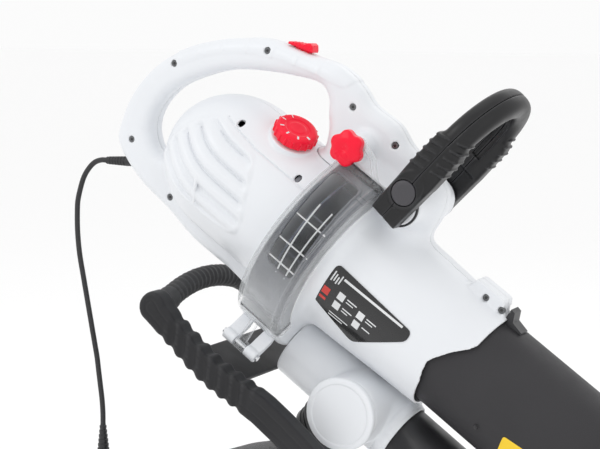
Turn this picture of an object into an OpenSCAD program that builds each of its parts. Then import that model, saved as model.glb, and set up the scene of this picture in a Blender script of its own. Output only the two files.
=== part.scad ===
// Hand-held electric leaf blower and vacuum with a suction tube, a blow tube, a bag and two handles.
// Each piece is drawn in the machine's own frame: X forward along the motor axis, Y to the left, Z up.
// attitude() then tips the machine nose-down about the middle of the rear grip, which is the origin.

/* [Body] */
// Outer radius of the motor cowl
motor_r = 76; // [70:1:92]
// Length of the straight part of the cowl
cowl_len = 104; // [98:1:125]
// Length of the cowl's rounded rear end
dome_len = 86; // [72:1:92]
// Wall of the moulded casings
wall = 2.6; // [2:0.1:3.2]
// Outer radius of the fan volute
volute_r = 113; // [108:1:136]
// Width of the fan volute along the motor axis
volute_w = 58; // [54:1:70]
// Half width of the handle casings
ridge = 19; // [18:1:23]

/* [Suction side] */
// Outer radius of the suction casing where it leaves the volute
suction_r = 74; // [70:1:80]
// Outer radius of the suction casing at its front edge
mouth_r = 64; // [58:1:68]
// Reach of the suction casing in front of the volute
suction_len = 180; // [176:1:215]
// Length of suction tube in front of the casing
tube_len = 680; // [560:1:820]
// Wall of the suction and blow tubes
tube_wall = 2.2; // [1.8:0.1:2.6]
// Angle of the cut at the tube's tip
tip_cut = 30; // [15:1:40]

/* [Blow side] */
// Outer radius of the blow duct
duct_r = 35; // [32:1:38]
// Outer radius of the changeover drum
drum_r = 37; // [36:0.5:41]
// Half width of the changeover drum
drum_y = 60; // [54:1:66]
// Outer radius of the chute that takes the bag
chute_r = 28; // [25:1:30]

/* [Handles] */
// Radius of the swivel boss under the front handle
boss_r = 22; // [20:1:26]
// Half width of the swivel boss
boss_y = 45; // [40:1:50]
// Radius of the front handle's section
bow_t = 14; // [12:0.5:16]
// Height of the front handle's legs
leg_h = 84; // [74:1:96]
// Distance from the middle to each arm of the carrying frame
arm_y = 98; // [96:1:116]
// Depth of the frame arms
arm_h = 34; // [28:1:38]
// Thickness of the frame arms
arm_t = 24; // [20:1:26]

/* [Motor] */
// Radius of the motor shaft
shaft_r = 5; // [4:0.5:6]
// Outer radius of the field stack
field_r = 42; // [38:1:46]
// Radius of the armature
armature_r = 22.5; // [19:0.5:24]
// Radius of the impeller
impeller_r = 88; // [74:1:92]
// Number of impeller blades
blades = 12; // [8:1:16]

/* [Controls] */
// Radius of the speed dial
dial_r = 24; // [20:1:26]
// Radius of the star knob over its lobes
knob_r = 18; // [15:1:20]
// Travel of the slide switch
switch_travel = 6; // [4:0.5:8]
// Travel of the front handle's button
button_travel = 4; // [2:0.5:5]

/* [Bag, wheels and cord] */
// Length of the dust bag
bag_len = 400; // [340:1:480]
// Width of the dust bag
bag_w = 250; // [200:1:300]
// Depth of the dust bag
bag_d = 220; // [180:1:265]
// Radius of the tip wheels
wheel_r = 28; // [24:1:34]
// Diameter of the mains cord
cord_d = 6; // [5:0.5:7]

/* [Clearances] */
// Gap between pieces that sit next to each other
gap = 0.3; // [0.2:0.05:0.5]
// Radial running clearance of shafts and pins
run = 0.05; // [0.03:0.01:0.08]
// Radial clearance of a tube in its socket
slip = 0.4; // [0.3:0.1:0.6]

/* [Hidden] */

$fn = 48;

// Nose-down angle of the motor axis when the machine hangs from the hand
tilt = 35;

// Origin of the row: middle of the rear grip, in the machine frame
grip_u = -160;
grip_w = 98;

// Stations along the motor axis
volute_back = 14;
volute_front = volute_back + volute_w;
cowl_front = volute_back - gap;
cowl_back = cowl_front - cowl_len;
suction_back = volute_front + gap;
suction_front = suction_back + suction_len;

// The blow duct hangs under the suction casing, and the changeover drum sits across it
drum_u = 170;
duct_drop = suction_r + duct_r + gap;
drum_drop = radius_at(drum_u) + drum_r + gap;
duct_front = drum_u + drum_r + 13;
duct_in = duct_r - wall;

function radius_at(u) = suction_r + (mouth_r - suction_r) * (u - suction_back) / (suction_len + 20);

// The volute cover is a window on the right side, hinged at the bottom and held by a knob at the top
cover_low = 38;
hinge_y = -0.64 * volute_r;
hinge_w = -volute_r - 6;
hinge_r = 3;
knuckle_r = 6.5;
knob_u = volute_back + 6;
knob_boss_y = -46;
knob_w = sqrt(volute_r * volute_r - (knob_boss_y - 10.6) * (knob_boss_y - 10.6)) + knob_r + gap;
cover_high = 180 - asin((-knob_boss_y - 0.4) / volute_r);
bolt_r = 3;

// Front handle swivel
swivel_u = 93;
swivel_w = 98;
swivel_lean = 9;
swivel_bolt_r = 4;
washer_t = 4;
leg_y = boss_y + washer_t + 2 * gap;
leg_t = 20;
button_rise = 22;

// Slide switch and dial places
switch_u = -100;
switch_w = 145;
switch_lean = -16;
dial_u = -49;
dial_w = motor_r + 2;
dial_h = 14;
dial_side = 18;

// Motor internals
bearing_t = 8;
front_seat_r = 13;
rear_seat_r = 11;
rear_bearing_u = -140;
front_bearing_u = -9;
stack_back = -95;
stack_front = -45;
brush_u = -116;
commutator_r = 13;
brush_w = 9;

// Tubes
tube_r = mouth_r - wall - slip;
tube_joint = suction_front + 0.46 * tube_len;
tube_tip = suction_front + tube_len;
blow_r = duct_in - slip;
blow_back = drum_u + drum_r;
blow_tip = tube_tip - 60;
collar_len = 46;

// Wheels under the blow tube's tip
axle_u = tube_tip - 90;
axle_r = 4;
axle_w = -duct_drop - blow_r - 20;
wheel_y = 46;
wheel_t = 18;

// Bag chute
chute_lean = 20;
chute_len = 2 * duct_r;
collar_t = 3;

// Screws across the handle casings: [u, w]
screw_r = 1.9;
handle_screws = [[-213, 50], [-128, 127], [-211, -50], [-136, -72], [-15, 138], [45, 134]];

// Side outline of the handle casings: rear loop, column, neck and the keel under the cowl
outline = closed_curve([
    [-226, -67], [-239, -38], [-242, -4], [-235, 31], [-219, 63], [-193, 93], [-166, 116], [-135, 136],
    [-84, 151], [-54, 160], [-24, 158], [0, 150], [32, 150], [56, 141], [84, 138], [112, 126], [119, 100],
    [122, 70], [110, 20], [60, -20], [14, -60], [8, -94], [-38, -94], [-90, -95], [-135, -88], [-182, -84]
], 3);

// The hand gap, whose lower edge runs inside the cowl
hand_gap = closed_curve([
    [-176, -42], [-198, -28], [-205, -4], [-199, 26], [-181, 54], [-156, 81], [-124, 103], [-88, 122],
    [-62, 132], [-47, 127], [-37, 113], [-26, 97], [-24, 78], [-60, 60], [-110, 40], [-140, 0], [-150, -30]
], 3);

// Front edge of the suction casing in side view, measured from suction_front
edge_back = -13;
mouth_edge = [
    [edge_back, 90], [edge_back, 40], [-16, 34], [-28, 21], [-38, 6], [-41, -1], [-40, -11], [-37, -24],
    [-36, -48], [-34, -90]
];

// Route of the mains cord in the row frame, chosen by hand
cord_route = [
    [-171, 0, -118], [-179, 0, -118], [-188, 0, -121], [-196, 0, -128], [-203, 0, -138], [-208, 0, -151],
    [-212, 0, -166], [-213, 0, -182], [-213, 0, -198], [-212, 0, -214], [-210, 0, -230], [-207, 0, -246],
    [-204, 0, -262], [-201, 0, -278], [-198, 0, -294], [-195, 0, -310], [-192, 0, -326], [-189, 0, -342],
    [-187, 0, -358], [-185, 0, -374], [-183, 0, -390], [-182, 0, -405], [-182, 0, -420]
];
cord_sides = 10;

function mix(a, b, c, d, t) =
    0.5 * (2 * b + (c - a) * t + (2 * a - 5 * b + 4 * c - d) * t * t + (3 * b - a - 3 * c + d) * t * t * t);

// A smooth closed curve through the points p, with n steps between neighbours
function closed_curve(p, n) = let (m = len(p)) [
    for (i = [0 : m - 1]) for (k = [0 : n - 1])
        mix(p[(i - 1 + m) % m], p[i], p[(i + 1) % m], p[(i + 2) % m], k / n)
];

function unit(v) = v / norm(v);

module attitude() {
    rotate([0, tilt, 0]) translate([-grip_u, 0, -grip_w]) children();
}

// Extrudes a side-view shape across the machine from y0 to y1
module across(y0, y1) {
    translate([0, y1, 0]) rotate([90, 0, 0]) linear_extrude(y1 - y0) children();
}

// Turns a profile of [radius, station] points about the motor axis
module turned(from = 0, turn = 360) {
    rotate([0, 90, 0]) rotate([0, 0, from]) rotate_extrude(angle = turn) children();
}

// A round bar along the motor axis
module bar_x(u0, u1, r, w = 0, y = 0) {
    translate([u0, y, w]) rotate([0, 90, 0]) cylinder(h = u1 - u0, r = r);
}

// A round bar across the machine
module bar_y(y0, y1, r, u, w) {
    translate([u, y1, w]) rotate([90, 0, 0]) cylinder(h = y1 - y0, r = r);
}

// side is -1 for the right half and 1 for the left half
module half(side) {
    intersection() {
        children();
        translate([-400, side < 0 ? -400 : gap / 2, -400]) cube([1600, 400 - gap / 2, 800]);
    }
}

module half_turned(side) {
    translate([0, side * gap / 2, 0]) turned(side < 0 ? 180 : 0, 180) children();
}

// The cowl's profile, grown by g and longer in front by more
module cowl_profile(g, more = 0) {
    polygon(concat(
        [[0, cowl_front + more], [motor_r + g, cowl_front + more]],
        [for (a = [0 : 6 : 90]) [(motor_r + g) * cos(a), cowl_back - (dome_len + g) * sin(a)]]
    ));
}

// Everything that the handle casings sit on, grown by the gap
module core_profile() {
    g = gap;
    cowl_profile(g);
    polygon([
        [0, volute_back - g], [volute_r + g, volute_back - g], [volute_r + g, volute_front + g],
        [suction_r + g, volute_front + g], [radius_at(suction_front) + g, suction_front], [0, suction_front]
    ]);
}

module casing_side() {
    difference() {
        polygon(outline);
        polygon(hand_gap);
    }
}

module handle_shell(side) {
    outer = side < 0 ? -ridge : gap / 2;
    inner = side < 0 ? -gap / 2 : ridge;
    far = side < 0 ? -boss_y : gap / 2;
    near = side < 0 ? -gap / 2 : boss_y;
    color("whitesmoke") difference() {
        union() {
            difference() {
                union() {
                    across(outer, inner) casing_side();
                    bar_y(far, near, boss_r, swivel_u, swivel_w);
                }
                across(side < 0 ? outer + wall : 0, side < 0 ? 1 : inner - wall)
                    offset(delta = -wall) casing_side();
                bar_y(side < 0 ? far + wall : 0, side < 0 ? 1 : near - wall, boss_r - wall,
                    swivel_u, swivel_w);
            }
            for (s = handle_screws) bar_y(outer, inner, 5, s[0], s[1]);
            bar_y(far, near, swivel_bolt_r + 4, swivel_u, swivel_w);
            if (side < 0) knob_boss();
        }
        turned() core_profile();
        for (s = handle_screws) screw_bores(side, s, ridge);
        bar_y(-100, 100, swivel_bolt_r + gap, swivel_u, swivel_w);
        if (side < 0) knob_hole();
        switch_slot();
        dial_frame() translate([0, 0, -20]) cylinder(h = 80, r = dial_r + 1);
        row_frame() cord_exit() translate([0, 0, -8]) cylinder(h = 48, r = sleeve_neck_r + gap);
    }
}

// Boss on the handle casing that takes the star knob's bolt
module knob_boss() {
    bar_y(knob_boss_y, -gap / 2, 13, knob_u, knob_w);
}

module knob_hole() {
    bar_y(knob_boss_y - 1, knob_boss_y + 16, bolt_r + 5, knob_u, knob_w);
    bar_y(knob_boss_y + 15, 1, bolt_r + 2, knob_u, knob_w);
}

module screw_bores(side, s, depth) {
    if (side < 0) {
        bar_y(-depth - 1, -depth + 5, 4, s[0], s[1]);
        bar_y(-depth, 1, screw_r + gap, s[0], s[1]);
    } else {
        bar_y(0, depth - 4, screw_r + run, s[0], s[1]);
    }
}

module screw(s, depth) {
    head = -depth + 2;
    bar_y(head, head + 3 - gap / 2, 3.4, s[0], s[1]);
    bar_y(head + 2, depth - 5, screw_r, s[0], s[1]);
}

module housing_screws() {
    color("dimgray") {
        for (s = handle_screws) screw(s, ridge);
        for (s = lug_screws) screw(s, lug_y);
    }
}

// The cowl is a turned shell with a flat seat for the dial on top and vents on each side
module motor_cowl(side) {
    color("whitesmoke") difference() {
        union() {
            half_turned(side) cowl_profile(0);
            if (side < 0) half(side) dial_frame() translate([0, 0, -20]) cylinder(h = 20 - gap, r = dial_r);
        }
        half_turned(side) cowl_profile(-wall, 1);
        if (side < 0) dial_frame() translate([0, 0, -40]) cylinder(h = 60, r = spindle_r + gap);
        half(side) vents(side);
    }
}

vent_rows = 6;
vent_pitch = 12;
module vents(side) {
    for (i = [0 : vent_rows - 1])
        translate([-118 + 3 * i, side < 0 ? -motor_r - 5 : motor_r - 32, -26 + vent_pitch * i])
            rotate([0, 12 - 3 * i, 0]) cube([66, 37, 4]);
}

module switch_frame() {
    translate([switch_u, 0, switch_w]) rotate([0, switch_lean, 0]) children();
}

slot_w = 9;
stem_len = 16;
module switch_slot() {
    switch_frame() translate([-stem_len / 2 - 1, -slot_w / 2, -8])
        cube([stem_len + switch_travel + 2, slot_w, 20]);
}

module slide_switch() {
    color("crimson") switch_frame() {
        translate([-17, -8, 3.4]) cube([30, 16, 3.2]);
        translate([-stem_len / 2, -slot_w / 2 + gap, -6]) cube([stem_len, slot_w - 2 * gap, 10]);
        for (i = [0 : 3]) translate([-14 + 5 * i, -7, 6]) cube([2.4, 14, 2.6 + 0.5 * i]);
        translate([5, -7, 6]) cube([6, 14, 5]);
    }
}

module switch_body() {
    color("black") switch_frame() translate([-15, -9, -21]) cube([32, 18, 14]);
}

module control_board() {
    color("seagreen") translate([-24, -12, 110]) cube([30, 24, 1.6]);
    color("gray") {
        translate([-21, -8, 111.6]) cube([12, 14, 9]);
        translate([-6, -6, 111.6]) cube([9, 12, 6]);
    }
}

// The dial leans to the right side, under the thumb
module dial_frame() {
    rotate([dial_side, 0, 0]) translate([dial_u, 0, dial_w]) children();
}

spindle_r = 3;
module speed_dial() {
    color("crimson") dial_frame() difference() {
        union() {
            cylinder(h = dial_h - 4, r = dial_r);
            translate([0, 0, dial_h - 4]) cylinder(h = 4, r1 = dial_r, r2 = dial_r - 3);
        }
        for (a = [0 : 15 : 345])
            rotate([0, 0, a]) translate([dial_r + 1, 0, -1]) cylinder(h = dial_h + 2, r = 2);
        translate([0, 0, -1]) cylinder(h = 9, r = spindle_r + run);
    }
}

module dial_potentiometer() {
    color("silver") dial_frame() translate([0, 0, -22]) {
        cylinder(h = 9, r = 9);
        cylinder(h = 28, r = spindle_r);
    }
}

// Motor
module field_stack() {
    color("slategray") turned() polygon([
        [armature_r + 1, stack_back], [field_r, stack_back], [field_r, stack_front],
        [armature_r + 1, stack_front]
    ]);
}

module field_coils() {
    in = armature_r + 5;
    out = field_r - 3;
    color("peru") for (side = [45, 225]) {
        turned(side - 50, 100) translate([in, stack_back - 9]) square([out - in, 9 - gap]);
        turned(side - 50, 100) translate([in, stack_front + gap]) square([out - in, 6]);
    }
}

module armature() {
    color("darkgray") difference() {
        union() {
            bar_x(stack_back + 1, stack_front - 1, armature_r);
            bar_x(stack_back - 7, stack_front + 5, armature_r - 5);
        }
        for (a = [0 : 30 : 330]) rotate([a, 0, 0])
            translate([stack_back, armature_r - 3, -0.8]) cube([stack_front - stack_back, 4, 1.6]);
        bar_x(-200, 0, shaft_r + 0.02);
    }
}

module commutator() {
    color("darkorange") difference() {
        bar_x(brush_u - 9, brush_u + 10, commutator_r);
        bar_x(-200, 0, shaft_r + 0.02);
    }
}

module motor_shaft() {
    color("silver") bar_x(rear_bearing_u - 6, volute_front - 4, shaft_r);
}

module bearing(u, r) {
    color("silver") turned() polygon([
        [shaft_r + run, u], [r, u], [r, u + bearing_t], [shaft_r + run, u + bearing_t]
    ]);
}

module motor_bearings() {
    bearing(rear_bearing_u, rear_seat_r);
    bearing(front_bearing_u, front_seat_r);
}

module brush_holders() {
    color("goldenrod") for (side = [-1, 1]) difference() {
        translate([brush_u - 7, side < 0 ? -40 : commutator_r + 3, -6]) cube([14, 37 - commutator_r, 12]);
        translate([brush_u - brush_w / 2 - 0.1, side < 0 ? -41 : commutator_r + 2, -4.1])
            cube([brush_w + 0.2, 60 - commutator_r, 8.2]);
    }
}

module carbon_brushes() {
    color("dimgray") for (side = [-1, 1])
        translate([brush_u - brush_w / 2, side < 0 ? -commutator_r - 24 : commutator_r + gap, -4])
            cube([brush_w, 24 - gap, 8]);
}

// Bearing seat with four arms at the back of the motor
module rear_bracket() {
    u = rear_bearing_u;
    color("gray") difference() {
        union() {
            bar_x(u - 3, u + bearing_t, rear_seat_r + 4);
            for (a = [0 : 90 : 270]) rotate([a, 0, 0]) translate([u - 3, 0, -4]) cube([4, 53, 8]);
        }
        bar_x(u, u + 40, rear_seat_r + 0.02);
        bar_x(u - 10, u + 40, shaft_r + 1);
    }
}

// Plate between motor and volute that carries the front bearing
module end_shield() {
    u = front_bearing_u;
    color("gray") difference() {
        union() {
            bar_x(u - 3, u + 1, motor_r - wall - gap);
            bar_x(u - 3, u + bearing_t, front_seat_r + 4);
        }
        bar_x(u, u + 40, front_seat_r + 0.02);
        bar_x(u - 10, u + 40, shaft_r + 1);
        for (a = [0 : 60 : 300]) rotate([a, 0, 0]) bar_x(u - 5, u + 5, 13, motor_r - 31);
    }
}

module cooling_fan() {
    u = stack_front + 8;
    color("black") difference() {
        union() {
            bar_x(u, u + 2, 40);
            bar_x(u, u + 14, 10);
            for (a = [0 : 36 : 324]) rotate([a, 0, 0]) translate([u + 1, 8, -1]) cube([13, 31, 2]);
        }
        bar_x(-200, 20, shaft_r + 0.02);
    }
}

impeller_back = volute_back + 16;
blade_w = volute_w - 28;
module impeller() {
    color("midnightblue") difference() {
        union() {
            bar_x(impeller_back, impeller_back + 2.4, impeller_r);
            bar_x(impeller_back - 8, impeller_back + 24, 16);
            for (i = [0 : blades - 1]) rotate([360 * i / blades, 0, 0])
                translate([impeller_back + 1, 14, -1.1]) cube([blade_w, impeller_r - 16, 2.2]);
            turned() translate([impeller_r - 4, impeller_back + blade_w]) square([4, 2.4]);
        }
        bar_x(-200, 200, shaft_r + 0.02);
    }
}

module impeller_nut() {
    color("silver") difference() {
        translate([impeller_back + 24 + gap, 0, 0]) rotate([0, 90, 0]) cylinder(h = 7, r = 10, $fn = 6);
        bar_x(0, 200, shaft_r + 0.02);
    }
}

// Volute: a fixed ring with the outlet into the duct, and a window for the clear cover
module ring_walls() {
    polygon([
        [10, volute_back], [volute_r, volute_back], [volute_r, volute_front], [suction_r - 14, volute_front],
        [suction_r - 14, volute_front - wall], [volute_r - wall, volute_front - wall],
        [volute_r - wall, volute_back + wall], [10, volute_back + wall]
    ]);
}

window_r = impeller_r + 5;
module window_profile(g) {
    translate([window_r - g, volute_back - 1]) square([volute_r + 2 - window_r + g, volute_w + 2]);
}

module volute_base() {
    color("whitesmoke") difference() {
        union() {
            turned() ring_walls();
            bar_x(volute_back, volute_front, duct_r, -duct_drop);
        }
        turned(-cover_high - 0.4, cover_high - cover_low + 0.8) window_profile(0.3);
        bar_x(volute_back + wall, volute_front + 1, duct_in, -duct_drop);
        turned() translate([0, volute_back + wall]) square([volute_r - wall, volute_w - 2 * wall]);
    }
    color("whitesmoke") hinge_knuckles([0, 2]);
    color("whitesmoke") hinge_leaf();
}

// Knuckles along the hinge pin: the fixed pieces are numbers 0 and 2, the cover's is number 1
knuckle_len = (volute_w - 14) / 3;
module hinge_knuckles(list) {
    for (i = list) difference() {
        bar_x(volute_back + 7 + i * knuckle_len + gap / 2, volute_back + 7 + (i + 1) * knuckle_len - gap / 2,
            knuckle_r, hinge_w, hinge_y);
        bar_x(0, 100, hinge_r + run, hinge_w, hinge_y);
    }
}

// Webs that join the fixed knuckles to the volute
module hinge_leaf() {
    for (i = [0, 2]) difference() {
        translate([volute_back + 7 + i * knuckle_len + gap / 2, 0, 0])
            rotate([0, 90, 0]) linear_extrude(knuckle_len - gap)
                polygon([
                    [-hinge_w - 4, hinge_y + 3], [-hinge_w + 4, hinge_y + 5],
                    [volute_r * cos(26), -volute_r * sin(26)], [volute_r * cos(34) - 1, -volute_r * sin(34)]
                ]);
        bar_x(0, 100, hinge_r + run, hinge_w, hinge_y);
        bar_x(0, 100, volute_r - 0.5);
    }
}

module volute_cover() {
    low = -cover_low;
    color("lightcyan", 0.5) {
        difference() {
            turned(-cover_high, cover_high - cover_low) intersection() {
                ring_walls();
                window_profile(0);
            }
            turned() translate([0, volute_back + wall]) square([volute_r - wall, volute_w - 2 * wall]);
        }
        hinge_knuckles([1]);
        difference() {
            translate([volute_back + 7 + knuckle_len + gap / 2, 0, 0])
                rotate([0, 90, 0]) linear_extrude(knuckle_len - gap)
                    polygon([
                        [-hinge_w - 6, hinge_y + 2], [-hinge_w - 2, hinge_y - 5],
                        [volute_r * cos(low - 10), volute_r * sin(low - 10)],
                        [volute_r * cos(low - 1), volute_r * sin(low - 1)]
                    ]);
            bar_x(0, 100, hinge_r + run, hinge_w, hinge_y);
            bar_x(0, 100, volute_r - 0.5);
        }
        cover_tongue();
    }
}

// Plate at the top of the cover that the knob clamps against the boss
tongue_t = 6;
tongue_y = knob_boss_y - gap - tongue_t;
module cover_tongue() {
    difference() {
        across(tongue_y, tongue_y + tongue_t) polygon([
            [volute_back, knob_w - 40], [volute_back - 8, knob_w - 6], [volute_back - 6, knob_w + 10],
            [volute_back + 10, knob_w + 14], [volute_front - 26, knob_w + 6], [volute_front - 10, knob_w - 12],
            [volute_front - 8, knob_w - 40]
        ]);
        bar_x(volute_back - 20, volute_front + 20, volute_r - 1);
        bar_y(-200, 0, bolt_r + run, knob_u, knob_w);
    }
}

module cover_hinge_pin() {
    color("silver") bar_x(volute_back + 5, volute_front - 5, hinge_r, hinge_w, hinge_y);
}

knob_t = 18;
knob_back = tongue_y - gap;
module star_knob() {
    color("crimson") difference() {
        union() {
            bar_y(knob_back - knob_t + 3, knob_back, knob_r - 6, knob_u, knob_w);
            bar_y(knob_back - knob_t, knob_back, knob_r - 9, knob_u, knob_w);
            for (a = [0 : 60 : 300])
                bar_y(knob_back - knob_t + 4, knob_back - 4, 5.5,
                    knob_u + (knob_r - 5.5) * cos(a), knob_w + (knob_r - 5.5) * sin(a));
        }
        bar_y(knob_back - knob_t + 5, 0, bolt_r, knob_u, knob_w);
    }
}

// The bolt stops at the mouth of its nut, so that the cover can swing with the knob slack
module knob_bolt() {
    color("silver") bar_y(knob_back - knob_t + 5, knob_boss_y + 10, bolt_r, knob_u, knob_w);
}

// Suction casing: a slightly conical shell with a pointed front edge and a lug on top
lug_y = 12;
lug_screws = [[suction_front - 43, mouth_r + 5], [suction_front - 23, mouth_r + 5]];
module casing_profile(g, t) {
    polygon([
        [suction_r + g, suction_back], [mouth_r + g, suction_front + 20],
        [mouth_r + g - t, suction_front + 20], [suction_r + g - t, suction_back]
    ]);
}

module mouth_cut() {
    across(-100, 100) polygon(concat(
        [for (p = mouth_edge) [p[0] + suction_front, p[1]]],
        [[suction_front + 60, -90], [suction_front + 60, 90]]
    ));
}

module lug() {
    u = suction_front - 16;
    w = mouth_r;
    polygon([[u - 52, w - 8], [u - 44, w + 16], [u - 10, w + 16], [u, w - 2], [u, w - 14], [u - 52, w - 14]]);
}

module suction_casing(side) {
    color("whitesmoke") difference() {
        union() {
            half_turned(side) casing_profile(0, wall);
            difference() {
                across(side < 0 ? -lug_y : gap / 2, side < 0 ? -gap / 2 : lug_y) lug();
                turned() polygon([
                    [0, suction_back], [suction_r - 1, suction_back], [mouth_r - 1, suction_front + 20],
                    [0, suction_front + 20]
                ]);
            }
        }
        mouth_cut();
        for (s = lug_screws) screw_bores(side, s, lug_y);
    }
}

module rating_plate() {
    color("black") intersection() {
        turned(180, 180) casing_profile(0.8, 0.5);
        across(-100, -20) polygon([
            [suction_back + 10, 20], [suction_back + 6, -26], [suction_back + 62, -41],
            [suction_back + 111, 2], [suction_back + 110, 13]
        ]);
    }
}

// Blow duct with the changeover drum across it and the chute to the bag
module chute() {
    translate([drum_u, 0, -drum_drop]) rotate([0, 180 + chute_lean, 0]) children();
}

module duct_half(side) {
    color("whitesmoke") half(side) difference() {
        union() {
            bar_x(suction_back, duct_front, duct_r, -duct_drop);
            bar_y(-drum_y, drum_y, drum_r, drum_u, -drum_drop);
            chute() cylinder(h = chute_len, r = chute_r);
        }
        bar_x(suction_back - 1, duct_front + 1, duct_in, -duct_drop);
        bar_y(-drum_y + wall, drum_y - wall, drum_in, drum_u, -drum_drop);
        chute() cylinder(h = chute_len + 1, r = chute_r - wall);
        bar_y(-drum_y - 1, drum_y + 1, flap_shaft_r + run, drum_u, -drum_drop);
    }
}

drum_in = drum_r - wall;
flap_shaft_r = 6;
flap_r = drum_in - 0.5;
module changeover_flap() {
    y = drum_y - wall - gap;
    color("dimgray") translate([drum_u, 0, -drum_drop]) {
        rotate([90, 0, 0]) rotate([0, 0, 270 - chute_lean - 54]) rotate_extrude(angle = 108)
            translate([flap_r - 2, -y]) square([2, 2 * y]);
        bar_y(-y, -y + 2.5, flap_r, 0, 0);
        bar_y(y - 2.5, y, flap_r, 0, 0);
        bar_y(-drum_y - 4, -y + 2.5, flap_shaft_r, 0, 0);
        bar_y(y - 2.5, drum_y - 0.5, flap_shaft_r, 0, 0);
    }
}

module changeover_knob() {
    color("whitesmoke") difference() {
        bar_y(-drum_y - 8, -drum_y - gap, drum_r + 1, drum_u, -drum_drop);
        bar_y(-drum_y - 5, 0, flap_shaft_r + 0.02, drum_u, -drum_drop);
    }
}

// Front handle: a bow on two legs, split into a rear and a front half
module swivel() {
    translate([swivel_u, 0, swivel_w]) rotate([0, swivel_lean, 0]) children();
}

module bow_solid() {
    bow_y = leg_y + leg_t / 2 - 3;
    for (side = [-1, 1]) {
        translate([0, side < 0 ? -leg_y : leg_y + leg_t, 0]) rotate([90, 0, 0]) linear_extrude(leg_t)
            polygon([
                [-16, -13], [-17, 20], [-bow_t, 44], [-bow_t, leg_h], [bow_t, leg_h], [bow_t, 44],
                [17, 20], [16, -13]
            ]);
    }
    translate([0, 0, leg_h]) rotate([0, 90, 0]) rotate([0, 0, 90]) rotate_extrude(angle = 180)
        translate([bow_y, 0]) circle(r = bow_t);
}

module front_handle(front) {
    color("black") swivel() difference() {
        intersection() {
            bow_solid();
            translate([front ? gap / 2 : -60, -100, -40]) cube([60 - gap / 2, 200, 220]);
        }
        bar_y(-leg_y - leg_t + 9.7, leg_y + leg_t - 1.7, swivel_bolt_r + run, 0, 0);
        bar_y(-leg_y - leg_t - 1, -leg_y - leg_t + 9, button_r + gap, 0, button_rise);
    }
}

module handle_washers() {
    color("black") for (side = [-1, 1]) difference() {
        translate([0, side * (boss_y + gap + washer_t / 2), 0])
            bar_y(-washer_t / 2, washer_t / 2, boss_r - 1, swivel_u, swivel_w);
        bar_y(-100, 100, swivel_bolt_r + run, swivel_u, swivel_w);
    }
}

module handle_bolt() {
    color("silver") bar_y(-leg_y - leg_t + 10, leg_y + leg_t - 2, swivel_bolt_r, swivel_u, swivel_w);
}

button_r = 13;
module handle_button() {
    face = -leg_y - leg_t;
    color("dimgray") swivel() bar_y(face - 3, face + 8 - button_travel, button_r, 0, button_rise);
}

// Carrying frame under the body: two arms, a grip across their rear ends and a bracket
arm_w = -duct_drop - duct_r;
arm_back = -56;
arm_front = 186;
module carry_arm(side) {
    y0 = side < 0 ? -arm_y - arm_t / 2 : arm_y - arm_t / 2;
    color("black") across(y0, y0 + arm_t) polygon([
        [arm_back - 8, arm_w + 4], [arm_back - 4, arm_w + 18], [arm_back + 8, arm_w + 22],
        [arm_back + 30, arm_w + arm_h / 2 - 2], [40, arm_w + arm_h / 2 - 8], [110, arm_w + arm_h / 2 - 2],
        [arm_front, arm_w + arm_h / 2 - 8], [arm_front + 6, arm_w], [arm_front, arm_w - arm_h / 2],
        [110, arm_w - arm_h / 2 + 2], [40, arm_w - arm_h / 2 - 4], [arm_back + 20, arm_w - arm_h / 2 + 6],
        [arm_back, arm_w - 8]
    ]);
}

grip_r = 13;
grip_sag = 16;
module carry_grip() {
    reach = arm_y - arm_t / 2 - gap;
    bend = (reach * reach + grip_sag * grip_sag) / (2 * grip_sag);
    spread = asin(reach / bend);
    color("black") intersection() {
        translate([arm_back + 8, 0, arm_w + 8]) rotate([0, -45, 0])
            translate([0, 0, grip_sag - bend]) rotate([0, 90, 0]) rotate([0, 0, 180 - spread])
                rotate_extrude(angle = 2 * spread) translate([bend, 0]) circle(r = grip_r);
        translate([-400, -reach, -400]) cube([600, 2 * reach, 500]);
    }
}

module frame_bracket() {
    reach = arm_y - arm_t / 2 - gap;
    w = -duct_drop - duct_r - gap;
    color("black") {
        translate([volute_back, -reach, w - 5]) cube([54, 2 * reach, 5]);
        translate([volute_back + 8, -reach, w - 12]) cube([10, 2 * reach, 8]);
        translate([volute_back + 34, -reach, w - 12]) cube([10, 2 * reach, 8]);
    }
}

// Collar that clips the bag on the chute
module bag_collar() {
    color("black") chute() translate([0, 0, chute_len - 14]) difference() {
        union() {
            cylinder(h = 20, r = chute_r + collar_t);
            cylinder(h = 4, r = chute_r + collar_t + 4);
        }
        translate([0, 0, -1]) cylinder(h = 15 + gap, r = chute_r + gap);
        translate([0, 0, -1]) cylinder(h = 30, r = chute_r - wall);
    }
}

// The bag hangs straight down from the collar. It is drawn in the row frame, as level rings under the mouth.
// Each ring is [share of the length, place of its middle, share of the depth, share of the width].
bag_rings = [
    [0.12, -104, 0.72, 0.56], [0.31, -113, 0.94, 0.88], [0.6, -111, 1, 1], [0.85, -105, 0.86, 0.86],
    [1, -102, 0.5, 0.5]
];
module dust_bag() {
    u = drum_u - chute_len * sin(chute_lean) - grip_u;
    w = -drum_drop - chute_len * cos(chute_lean) - grip_w;
    mouth = [u * cos(tilt) + w * sin(tilt), w * cos(tilt) - u * sin(tilt)];
    color("dimgray") hull() {
        attitude() chute() translate([0, 0, chute_len + 6 + gap]) cylinder(h = 2, r = chute_r + 2, $fn = 32);
        for (r = bag_rings) translate([mouth[0] + r[1], 0, mouth[1] - r[0] * bag_len])
            scale([r[2] * bag_d / bag_w, r[3], 1]) cylinder(h = 1, r = bag_w / 2, $fn = 32);
    }
}

// Tubes
module suction_tube(u0, u1, r) {
    color("dimgray") turned() polygon([[r, u0], [r, u1], [r - tube_wall, u1], [r - tube_wall, u0]]);
}

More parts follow.
